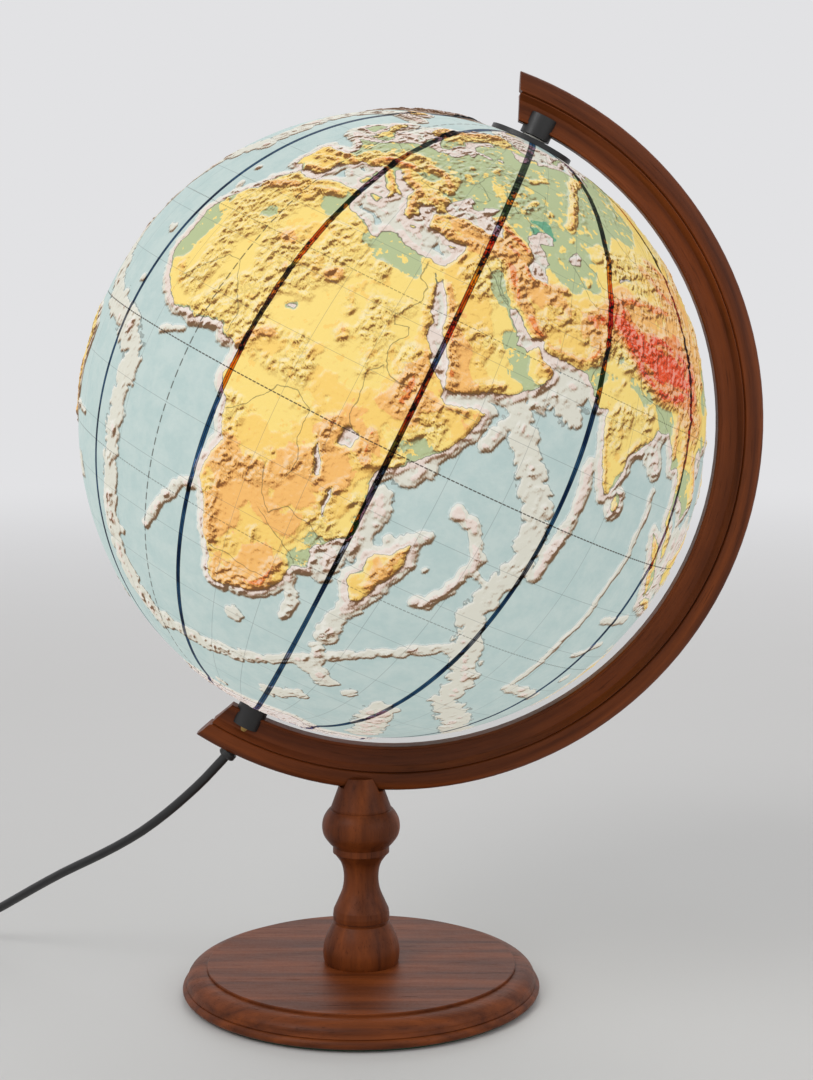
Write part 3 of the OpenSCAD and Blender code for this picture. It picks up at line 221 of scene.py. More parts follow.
# Heights of places, as longitude, latitude and kilometres
SPOTS = """-8 33 .25,0 33 .7,7 33.8 .04,9 32 .15,-4 29 .4,-8 27 .4,-2.5 26.5 .14,-14 24 .2,
    -15.7 20 .07,-13 18 .12,-9 18 .3,-3 20 .3,2 29 .35,-1 23 .32,5 27 .5,10 27 .55,15 27 .5,13 30 .4,
    20 27 .3,20 30 .13,22 29 .04,26 29 .02,28.5 28.3 .1,30 25 .3,25 25 .5,23 22 .55,30 21 .32,
    32 18 .32,34 19 .5,30 14 .45,27 17 .45,35 14 .45,33 10 .38,30 8 .38,27 10 .45,20 15 .35,17 17 .25,
    14 14 .27,15 20 .55,10 17 .42,5 16 .36,0 17 .28,-5 15 .27,-10 15 .24,-14.5 14.5 .06,-12 10 .35,
    -8 9 .4,-5 8 .27,-2 9 .27,2 9 .32,5 8 .24,8 11 .5,11 8 .5,13 5 .6,18 7 .48,22 8 .55,10 -2 .45,
    13 0 .45,17 0 .33,20 0 .34,24 0 .4,22 -4 .42,27 2 .7,27 -3 .7,18 -8 .75,14 -6 .45,22 -9 .85,
    26 -10 1.3,30 -6 1.2,33 -5 1.2,35 -7 1.15,37 -4 .8,39 -7 .22,38 2 .5,41 2 .18,43.5 3 .1,45 5 .25,
    46 8 .5,48 9.5 .9,43 7 .7,40 5 1.1,38 9 2.3,39 12 2.1,37 7 1.8,42 9.5 1.4,41 12 .35,36 0 1.8,
    36 4 .6,33 2 1.1,31 0 1.3,29.5 -1 1.6,14 -12 1.4,16 -14 1.45,20 -13 1.25,24 -13 1.2,28 -13 1.2,
    31 -12 1.05,32 -9 1.5,34 -12 .95,37 -12 .6,38.5 -15 .3,39.8 -13 .13,36 -16 .45,35 -18 .12,
    34 -20 .12,33.5 -23 .08,32.6 -25 .06,30 -18 1.3,28 -18 1.15,28 -21 .8,24 -18 1.0,20 -17 1.15,
    16 -18 1.15,14 -18 .8,17 -21 1.5,17 -24 1.6,20 -22 1.15,22 -20 .8,23 -24 .75,21 -26 .75,20 -28 .8,
    18 -29 .95,25 -27 1.25,28 -26 1.5,27 -29 1.5,29 -29 2.0,24 -31 1.25,20 -32 1.0,31 -27 1.1,
    31.3 -29 .6,46.5 -19 1.2,47.5 -15 .9,44.5 -20 .25,45 -23 .7,38 25 .9,41 20 1.25,43.5 16 2.1,
    42 18 2.0,44 24 .75,43 28 .8,47 22 .6,47 18 .55,50 19 .28,53 20 .1,54 22 .07,50 24 .1,48 27 .25,
    46 30 .25,57 22.5 .8,56 19 .12,45 14 1.8,49 15.5 .9,53 17 .6,38 33 .7,41 33 .45,44 33 .04,
    46 31 .02,43 36 .25,36 31.5 .7,34 30 .5,48 36 1.6,51 34 1.1,54 33 .95,57 31 .85,55 36 1.05,
    59 33 1.15,58 28 .9,61 31 .55,63 28 .75,65 32 1.1,66 34.5 2.4,64 36 .7,68 32 1.9,67 28 .7,
    33 39 1.1,37 39 1.5,41 39 1.9,29 39 .9,44 40 1.8,60 39 .12,57 40 .07,62 42 .1,66 41 .18,64 45 .12,
    68 46 .25,72 47 .45,68 49 .35,65 50 .2,75 50 .35,78 45 .45,60 46 .1,56 46 .14,56 43 .17,
    52 47.8 -.04,50 47.2 -.04,54 46.6 -.03,47.5 46.5 -.04,46 46 .06,54 48 .03,57 49 .22,70 52 .14,
    70 58 .07,75 62 .06,66 63 .06,80 58 .1,72 68 .03,40 50 .15,37 53 .19,33 51 .15,35 47 .06,30 53 .14,
    27 51 .18,45 53 .15,52 53 .18,55 57 .15,48 57 .12,40 58 .13,33 57 .15,45 62 .1,55 62 .13,50 66 .05,
    38 63 .1,30 62 .12,27 65 .18,25 57 .08,24 54 .12,20 52.5 .12,15 52.5 .06,10 53 .03,12 49.5 .45,
    15 49.5 .4,17 48 .15,20 47 .1,25 46.8 .4,26 44.5 .08,28 47 .12,22 43.5 .6,20 44.5 .4,24 42 .6,
    10 50 .3,5 51 .05,3 49 .12,2 47 .15,3 45.3 .7,0 46 .1,0 43.8 .15,5 47.5 .3,11 48 .5,10 45.2 .05,
    -4 41.5 .75,-3 39.5 .7,-5 38 .5,-7 39.5 .4,-8 41.5 .6,-1 41.5 .4,-6 37.3 .1,0 52 .08,-3.5 52.3 .3,
    -4 57 .45,-8 53 .08,8 61 1.0,13 63 .6,17 66 .6,15 58 .12,16 60.5 .2,20 64.5 .25,25 69 .35,
    35 68 .18,23 62 .1,72 27 .18,70 30 .12,74 31 .18,68 26 .05,78 27.5 .17,82 26 .08,88 25 .03,
    90 24 .02,75 24.5 .45,79 23 .45,84 23 .4,76 20.5 .5,80 20 .35,77 17 .5,76 14.5 .6,78.5 14 .4,
    79.5 11 .1,77 10.5 .45,81 17 .15,80 34 4.9,85 33 5.0,90 32 4.8,95 33 4.6,99 33 4.2,101 30 3.8,
    82 38.5 1.3,86 39.5 .95,78.5 39.5 1.2,90 38.5 2.8,95 37 2.9,90 40.5 1.0,98 41 1.3,103 42 1.2,
    105 45 1.2,100 47 1.8,93 46 1.3,110 44 1.0,108 38 1.3,112 37 1.1,88 44.5 .5,83 46 .5,76 42 1.8,
    73 38 4.0,76 36 4.8,115 35 .05,118 33 .03,112 30 .08,105 30 .4,107 27 1.0,102 25 2.0,112 26 .3,
    116 27 .25,110 23 .2,125 44 .18,122 42 .15,120 47 .7,128 47 .25,128 50 .4,115 40.5 1.2,101 21 .9,
    98 21 1.0,96 18 .15,100 16 .08,103 16 .17,105 12 .05,107 14 .6,102 4.5 .3,107 20.5 .2,115 1 .3,
    102 -1 .15,110 -7.3 .3,95 57 .3,100 62 .45,100 67 .6,110 60 .45,120 62 .35,125 65 .2,110 52 .9,
    118 56 1.1,128 58 .8,135 60 .7,140 66 .8,150 64 .9,160 66 .6,150 69 .05,90 70 .15,88 62 .15,
    100 73 .15,172 66 .5,160 56 .9,135 50 .5,138 36.5 .9,143 43.3 .5,122 -24 .5,117 -25 .45,120 -30 .4,
    128 -23 .55,133 -24 .65,130 -28 .4,137 -29 .05,140 -26 .12,143 -23 .25,147 -25 .4,150 -30 .8,
    143 -33 .08,148 -36 .9,135 -20 .3,126 -17 .4,133 -15 .2,143 -16 .15,146 -42 .6,141 -5 1.2,
    145 -6.5 1.5,139 -7.5 .05,171 -43.5 1.4,175.5 -39 .6,-100 40 .7,-104 40 1.5,-97 35 .35,-90 35 .1,
    -92 31 .05,-85 33 .25,-82 28 .03,-88 40 .18,-95 45 .35,-82 40 .3,-78 37 .18,-76 43 .35,-95 52 .3,
    -85 50 .25,-75 50 .45,-70 54 .55,-65 58 .35,-72 60 .25,-85 54 .1,-100 50 .5,-110 52 .75,
    -105 58 .35,-115 60 .4,-110 65 .35,-100 64 .18,-125 65 .3,-120 58 .6,-135 65 .8,-145 66 .4,
    -155 64 .3,-160 61 .1,-155 70 .05,-120 50 1.3,-117 44 1.4,-112 40 1.9,-107 38 2.4,-115 36 1.0,
    -121 37 .1,-110 35 1.8,-107 30 1.5,-102 27 1.5,-102 22 2.1,-99 19.5 2.4,-98 27 .05,-90 18 .15,
    -90 15 1.4,-85 13 .5,-112 33 .4,-70 46 .3,-56 48.5 .3,-72 68 .6,-80 80 .9,-110 71 .18,-70 8 .1,
    -74 4.5 2.0,-70 4 .18,-65 5 .5,-62 5 .9,-60 2 .3,-65 -3 .07,-70 -5 .12,-60 -4 .05,-55 -5 .15,
    -52 -2 .05,-50 -8 .3,-45 -6 .3,-40 -8 .45,-44 -13 .7,-48 -15 .9,-47 -19 .9,-52 -15 .6,-56 -13 .4,
    -60 -12 .25,-63 -16 .18,-57 -18 .1,-58 -24 .1,-52 -22 .45,-50 -26 .85,-54 -29 .25,-57 -32 .1,
    -60 -35 .08,-64 -32 .3,-66 -36 .3,-68 -40 .6,-69 -45 .5,-70 -49 .5,-70 -53 .15,-67 -18 3.9,
    -69 -15 4.0,-66 -22 3.8,-68 -26 3.8,-75 -11 3.2,-78 -7 2.2,-78.5 -1 2.6,-70 -33 2.8,-71 -40 1.0,
    -40 72 2.5,0 -80 2.8,90 -78 3,-90 -80 1.5,140 -75 2.3,-19 65 .6"""

# Mountain chains: height in kilometres, half width in degrees, then the line of the crest
CHAINS = """2.0 .9 -9 30.5 -6 32 -3 33;.9 .6 -5 35 0 35.5 5 36.3 9 36.5;1.1 .7 -1 33 3 34 7 35;1.7 1.5
    5 23.5 7 23.5;.9 .9 8 26 10 24.5;1.9 1.2 17 20.5 18.5 21.5;1.2 .9 8.5 18.5;1.8 1.1 24 13;.9 .9
    23 17 22 19;1.1 .7 33.5 27 35 23 36.5 19.5;1.8 .9 9.3 4.3 10.5 6.3 12 7.5 14 8;1.2 .7 9 10;1.0 .9
    -12 11.5 -9.5 8.8;2.4 .8 30 1 29.3 -2 29.5 -5 31 -9;2.6 .9 36 1 36.5 -2 37.3 -3.2;1.9 .8 36 -7.5
    34.5 -9.5 34 -11;3.0 1.3 37 13 38.5 11 38 8 39.5 7;1.6 .7 44 10 48 10.7;2.6 .9 30.5 -25 29.5 -28.5
    28.5 -30.5 26 -31.5;1.4 .6 19 -32.5 20.5 -33.6 24 -33.6;1.8 .8 15 -17 15.5 -21 16.5 -25 17 -28;
    1.9 .9 13.5 -10 15 -13 14 -15.5;1.5 .8 27 -8.5 25.5 -10.5;1.8 .9 49 -14 47.8 -18 46.8 -22;2.4 .8
    36.5 28 39.5 23.5 41.5 19.5 43.5 15.5 44.5 14;2.0 .6 56.3 25 57.5 23.3 59 22.7;1.2 .6 47 14.8
    52 17;1.6 .5 35.8 33.3 36.3 34.5;2.2 .8 29.5 37 32.5 36.9 36 37.8 40 38 43 38;1.9 .7 32 41 37 40.6
    41 41;3.7 .7 38.5 44.2 42 43.3 45 42.6 48 41.2;2.6 1 43 40.5 46 39.5;2.8 .6 48.5 37.8 51.5 36.2
    55 36.7 58 37.5;2.8 1.1 45 37 47 35 50 32 52.5 29.5 55.5 27.8;1.5 .8 58 27 62 26.5 66 27;2.4 .9
    67 28 69 31 70 33.5;4.4 1 65 34.5 69 35.5 72 36.5 75 36.5;5.6 1.2 74 35 77 32.5 80 30.3 84 28.6
    88 27.8 92 28 96 29;5.6 1.2 75 36.5 79 36 83 36.3 88 36.8 93 36 99 35;3.8 .9 69.5 39.5 73 41 77 42
    81 42.5 86 43 92 43.3;4.8 1.5 72.5 38 73.5 39;2.8 1.3 84 50.5 88 49 92 47.5 97 45.5;2.3 1.2 89 53
    95 53 101 51.5;2.6 1 98 47.5 102 47.8;1.7 1.2 108 51 114 54 122 56.3 130 56.5 136 57.5;2 1.2 127 70
    128 66 132 63 138 61;2.2 1.4 135 70 141 67 147 64 152 62;1.5 1.2 155 63 162 65.5 170 67 178 67;
    2.2 .9 157 52 159 55.5 161.5 57.5;1.3 .9 134 44.5 137.5 48 139 51;1.3 1.2 118 43 120.5 47 122 51;
    4.2 1.5 97 31 99.5 29 100.5 26.5;2.2 .8 104 34 108 33.8 112 33.7;1.5 .8 103.5 20 105.5 17.5
    107.8 15 108.3 12.5;2 .8 95 26.5 93.8 23 94.3 19;1.5 1 98 24 98.5 20 98.7 15;1 .5 101 6 102 4;
    1.7 .6 97 4 100 0 102.5 -3.2 104 -5;1.5 .5 107 -7 110 -7.4 113.5 -8;1.4 1 111 1 114 2.5 116.5 5.5;
    1.6 .6 120 -3 120.5 -1.5 121 1;3.2 1 134 -3.5 138 -4 142 -5.2 146 -6.5 149 -9.5;1.3 .5 120.8 17
    121.3 15.5;1.4 .6 124 8 126 8;1.9 .6 131 32.5 133.5 34.5 136.8 35.8 138.5 36.5 140.5 39.5 143 43.3;
    2 .5 121 23.5;1.2 .5 73.7 19 74.3 15.5 76 11.5 77.2 9;.9 .6 79 14.5 82.5 18.3;.7 .6 75 22 80 22.7
    84.5 23.2;.8 .5 73 24.5 75.5 27;1.5 .5 80.7 7;2.9 .7 6.5 44.3 7 45.8 9.5 46.6 12.5 47 15 47.4;
    1.4 .5 8.5 44.4 11 44 13.5 42.3 15.7 40.5 16.3 39;2.3 .5 -1.5 43 2.5 42.5;1.5 .5 -7 43 -3.5 43;
    1.4 .6 -7 40.3 -4 40.7 -2 41.5 0 40.5;2.0 .6 -5 37 -2.5 37.5 -.5 38.4;1.2 .9 3 45;.9 .5 6 46.5
    7 48;.9 .6 10 50.3 13 50.5 16.5 50.3;.8 .5 12.5 49.3 14 48.7;1.7 .8 14.5 45.5 17 44 19.5 42.8
    20.8 41.5;1.8 .6 20.8 40.5 21.7 38.8 22.3 37.3;1.6 .6 22.8 43.3 25 42.7 27 42.8;1.7 .7 23.5 41.7
    25 41.6;1.7 .7 18 49.3 20.5 49.3 23.5 48.6 25.5 47 26 45.6 23 45.4;1.6 1.2 7 60 9 62 14 64.5
    17 67.5 21 69;.9 .7 -5 57 -3.5 57;.6 .4 -3.8 52.6;.6 .4 -2.2 54.5;1.1 .8 58 51.5 59 55 59.5 60
    61 64.5 66 68;1.3 1 -18 64.6;.3 1.6 33 57;.27 1.8 36 52 38 50;.33 1.1 46 53 45 50;.3 .8 38.5 48.3;
    .37 1.2 52 52.5;.4 .9 48 61 44 59;.3 .8 26 54;.8 1.6 70 49 75 48.5;.45 .7 58.5 48.8;.25 .8
    55.5 43.5;.5 .9 63.5 41.5;1.6 1 -160 68 -150 68.3 -142 68.5;2.6 1 -155 61.5 -150 63 -143 61.5
    -138 60;2 1.3 -137 66 -129 63;2.2 .9 -133 58 -127 53 -122 49.5;2.6 1.1 -125 57 -118 52.5 -114 48.5;
    2.9 1.3 -114 46 -110.5 43.5 -106.5 39.5 -106 36;1.8 .6 -121.8 48 -122 43 -121.5 40.5;2.7 .6
    -120.5 39 -118.3 36.3;2.2 1.5 -116 40 -113 38;2.4 1 -109 30 -106 26 -104 22;2.2 .7 -101 25.5
    -99.5 22 -97 18.5;2.6 .7 -104 19.8 -97 19.3;1 .4 -115.5 31 -112 26;1.8 .7 -92 15.5 -89 14.5
    -85.5 12.5 -83 9.5;1.1 .9 -85 34.5 -81.5 37 -78 40 -73.5 44 -70 45.5;1.2 .8 -64 59;1.5 .9 -62 66
    -68 69 -78 72.5;1.8 1 -75 80 -85 81;4.2 1.1 -72.5 10 -73.5 7 -75.5 4 -77.5 1 -78.7 -2.5 -78 -7
    -76 -11 -72.5 -14.5 -69 -18 -68 -23 -69.5 -28 -70 -33 -71 -38;2.0 .7 -71.5 -40 -72.5 -45 -73 -50
    -70 -54.5;1.8 1.1 -65 4 -61 5;1.5 1 -42 -13 -43.5 -18 -44 -21.5 -48 -25 -50 -28;1.1 .9 -48 -15;
    1.2 .9 145 -16 146 -20 149 -24 152 -28 150.5 -32 148.5 -36 146 -37.3;1 .7 130 -23.5 135 -23.7;1 .7
    117 -22.5;.7 .9 126 -16.5;.8 .5 138.5 -31;2.4 .6 168 -45 171 -43.4 173 -41.8;1.3 .5 175.5 -39;3 1.4
    165 -73 160 -80 210 -86;1.8 .9 -64 -66 -67 -71;1.8 1 -28 70 -40 64;1.2 .6 147 -42"""

# Rises of the sea floor: 1 for a bank and less for a ridge, half width in degrees, then the line of the crest
RISES = """.76 3.6 -20 64 -30 58 -32 52 -29 45 -30 39 -38 33 -45 25 -45 15 -38 8 -30 1 -20 -1 -13 -5
    -13 -15 -13 -25 -14 -35 -12 -45 -2 -54;.74 2.2 -2 -54 10 -53 25 -51 32 -49;.74 1.6 32 -49 38 -46
    48 -39 57 -33 65 -28 70 -25;.8 1.2 12 -19 8 -21 5 -25 2 -29 0 -32;.8 2.1 25.5 -39.5;.8 1.5 33.5 -27
    35.5 -31 35 -34.5;.86 2.2 46 -27 45 -31 45 -35;.8 2.6 44 -43 51 -45.5;.78 1.8 45 -38 46 -42;.93 3.4
    69 -48 72 -53 77 -57 82 -61;.95 1.6 54 -4.5 57 -5;.93 1.4 58 -6 61 -10 60 -14 59.5 -17 57.5 -20.5
    55.5 -21;.78 1 62 -12.5 65 -13.5;.88 1.3 49 -11.5 51.5 -9.8;.8 1.2 43.3 -11.8;.8 1 46 -12.8;.78 .8
    54 -15.5;.75 3.3 57 13.5 61 8 65 3 68 -2 68 -8 66.5 -14 66 -19 69 -24;.95 1.5 73 12 73 7 73.2 1
    72 -5 72 -9;.8 .95 90.5 12 90.3 0 89.3 -10 88.3 -20 88 -31;.85 1.4 88 -31 94 -31 101 -32;.75 3.6
    70 -25 76 -33 79 -39 88 -43 97 -47 110 -50 125 -50 140 -51 150 -58 165 -62 180 -64 200 -64;.78 1
    57.5 15.5 61 20 64.5 23;.75 4.2 61 21 65 18.5 64 23;.78 1.6 44 12 48 12.4 52 13;.78 1.5 55 11
    53 7.5;.7 2.2 57 18 60 17;.78 2.4 88 19 89 15 86 17;.8 2.6 42 -7 42.5 -11;.82 3.2 42 -15 39.5 -19
    38 -23;.78 2.5 43.5 -3 46 0;.78 1.2 -21 6;.78 .8 -8 0 -3 2;.82 1.5 -24 16;.82 1.1 -16 28.5;.78 .9
    -17 33;.8 3.0 -28 38.5;.8 3.4 -34 -31;.78 1 -15 -38 -9 -37;.78 1 -29 -20.5 -38 -20.5;.75 2 3 -52;
    .76 1.5 20 -66;.76 2.5 40 -58 47 -54;.76 1.8 58 -46;.76 1.3 96 -12 105 -11;.76 1 96 -20 103 -17;
    .78 1.4 113 -18;.78 1.6 104 -26;.9 2.4 -15 62 -8 61.5;.95 3 -9 50 3 55.5 5 58;.95 2.6 20 57 20 62
    19 55;.95 3.4 40 71 30 73 20 75 50 75;.95 4.5 70 75 100 79 130 76 150 75 170 73 190 70;.95 3.5
    185 62 195 60 200 58;.76 1.4 140 80 60 88 -60 85;.9 1.3 -50 45 -52 44;.95 2 -52 47;.9 1.5 -64 43;
    .95 3 -62 -48 -64 -52;.9 1.3 -60 -51.5;.8 2 -40 -54 -30 -55;.95 4.5 107 4 110 -2 112 6;.95 3.6
    124 33 122 37 125 28;.95 3.6 130 -11 138 -10 125 -16;.95 2 137 -13;.95 2.3 131 -33;.8 2.5 127 -5
    130 -7 122 -3 120 5 122 10;.8 3 162 -25 165 -35 170 -30;.88 3.2 172 -48 178 -44;.8 1.6 -176 -15
    -177 -25 -181 -34;.78 1 -155.5 19.5 -165 25 -175 28.5 -185 31 -189.5 38 -192 48 -195 53;.8 2
    -150 -17 -140 -10;.75 2.5 160 8 150 7 170 5;.76 1.3 145 14 142 22 140 30;.78 2 135 25;.75 4 -105 20
    -104 5 -107 -10 -112 -22 -113 -33 -118 -45 -135 -53 -150 -58 -170 -63;.78 1 -80 -20 -90 -26
    -105 -27;.78 1.8 -90 -1 -85 2;.78 1.6 -98 -38 -82 -42;.8 2.2 -62 14 -62 19 -70 18;.85 1.6 -81 16
    -77 15;.95 1.3 -77 25;.8 1.2 -65 32.5;.8 3 15 37 20 35.5 28 34;.82 2 5 40 12 40;.8 2 34 43.2;.9 1.2
    38 18 40 15"""

# Rivers, as lines of longitude and latitude
RIVERS = """33 0 31.5 2.5 31.7 5 30.5 9.5 32.5 12 32.6 15.6 34 17.5 33.5 19 31 18 30.5 20 32 22 33 24
    32.7 26 31 28 31.2 30.5;26 -11 27 -8 25.5 -4 25.5 0 22 2.2 18.5 1 17 -1.5 15.3 -4.2 12.4 -6;-9.5 10
    -6 13 -3 16.5 0 16.2 3.5 11.8 6 8 6.2 4.6;22.5 -11.5 23 -15 25.8 -17.8 28.5 -15.8 33 -16.2
    36 -18.6;29 -29 25 -29 20.5 -28.5 16.5 -28.6;24 -18 30 -21.5 33 -24 33.5 -25;39 38.5 39 35.5
    42.5 34 45.5 31.5 48.3 30;41 38 43 36.3 45 32.5 47.5 31;78 31.5 76 34.5 73 34 71 31 68.5 27.5
    67.6 24.2;79 30 81 26 85 25.6 88 24.5 90.3 22.6;8 48 13 48.4 16.5 48 19 47 19 45 22.5 44.6 27 44.1
    29 45.2;32.5 57 37 57.5 44 56.3 49 56 49 53.5 46 51 44.8 48.6 47.8 46;38 53.8 39.5 51 43.5 48.5
    39.6 47.2;33 55 30.5 51 35 48.5 32.5 46.6;73 38.5 66 37.3 62 41 59.5 43.7;73 41 68 42 66 44.5
    61.8 46;82 51 77 54 71 58 69 61 67 66.5;91 52 92 57 88 63 86 69 83 71;106 54 114 60 125 61.5 125 66
    127 72;38 10.5 34 10.6 32.5 12.5 32.6 15.6;8 46.5 7.7 48.5 7 50.5 4.3 51.8;-76 -5 -70 -4 -62 -3.3
    -55 -2.3 -50.5 -.5;-95 47 -91 43 -90 38 -90.5 33 -89.5 29.3;-47 -20 -53 -23 -58 -27.5 -59 -33;
    140 -28 143 -34.5 139.5 -35.4"""


def pairs(text: str) -> Array:
    """Read a line of longitudes and latitudes.

    Args:
        text: Numbers with blanks or commas between them.

    Returns:
        An array with one row of two numbers for each point.
    """
    return np.array([float(word) for word in text.replace(",", " ").split()]).reshape(-1, 2)


def linear(red: int, green: int, blue: int) -> Colour:
    """Turn a display colour of 0 to 255 into the linear colour that a socket takes."""
    shares = (value / 255 for value in (red, green, blue))
    return *(((share + 0.055) / 1.055) ** 2.4 if share > 0.04 else share / 12.92 for share in shares), 1.0


def ease(share: Any) -> Any:
    """Give a share of 0 to 1, or an array of them, a gentle start and end."""
    return share * share * (3 - 2 * share)


class Tint(Enum):
    """Colours of the printed map, as they look with the lamp on."""

    SEA = linear(187, 207, 204)
    SEA_FAR = linear(198, 214, 210)
    RISE = linear(224, 222, 208)
    SHELF = linear(234, 218, 207)
    HOLLOW = linear(112, 172, 138)
    LOW = linear(186, 198, 152)
    HILLS = linear(252, 223, 132)
    UPLAND = linear(252, 212, 118)
    HIGH = linear(250, 192, 113)
    STEEP = linear(243, 144, 74)
    ROOF = linear(242, 88, 46)
    ICE = linear(238, 226, 220)
    INK = linear(62, 52, 44)
    LINE = linear(96, 104, 104)


# The backdrop's colour, which the far floor runs out into
BACKDROP = linear(226, 226, 228)

# Heights at which the tint changes, in kilometres, and the tint from there up
TINT_STEPS = {0.2: Tint.HILLS, 0.55: Tint.UPLAND, 1.0: Tint.HIGH, 2.2: Tint.STEEP, 4.0: Tint.ROOF}


class Form(Enum):
    """The form of a noise: rolling, with crests, or with swollen lumps and creases between them."""

    ROLLING = "rolling"
    CRESTS = "crests"
    LUMPS = "lumps"


class Lattice:
    """Smooth seeded noise in space."""

    size = 64
    shift = 200.0

    def __init__(self, seed: int) -> None:
        """Fill the lattice with seeded numbers."""
        self.values = np.random.default_rng(seed).random((self.size,) * 3).astype(np.float32)

    def at(self, points: Array, scale: float) -> Array:
        """One octave of the noise.

        Args:
            points: Points of the unit sphere.
            scale: Cells to a radius.

        Returns:
            Noise from 0 to 1.
        """
        p = points * scale + self.shift
        cell = np.floor(p).astype(np.int32)
        part = ease((p - cell).astype(np.float32))
        total = np.zeros(len(p), np.float32)
        for corner in product((0, 1), repeat=3):
            x, y, z = (np.abs(1 - d - part[:, axis]) for axis, d in enumerate(corner))
            i, j, k = ((cell[:, axis] + d) % self.size for axis, d in enumerate(corner))
            total += x * y * z * self.values[i, j, k]
        return total

    def layered(self, points: Array, scale: float, octaves: int, form: Form = Form.ROLLING) -> Array:
        """Several octaves of the noise.

        Args:
            points: Points of the unit sphere.
            scale: Cells to a radius in the widest octave.
            octaves: How many octaves, each twice as fine as the one before.
            form: The form of the noise.

        Returns:
            Noise of about 0 to 1.
        """
        total, reach = np.zeros(len(points), np.float32), 0.0
        for octave in range(octaves):
            weight = 0.55**octave
            value = self.at(points, scale * 2.03**octave)
            fold = np.minimum(np.abs(2 * value - 1) * 1.7, 1)
            total += weight * {Form.ROLLING: value, Form.CRESTS: 1 - fold, Form.LUMPS: fold}[form]
            reach += weight
        return total / reach


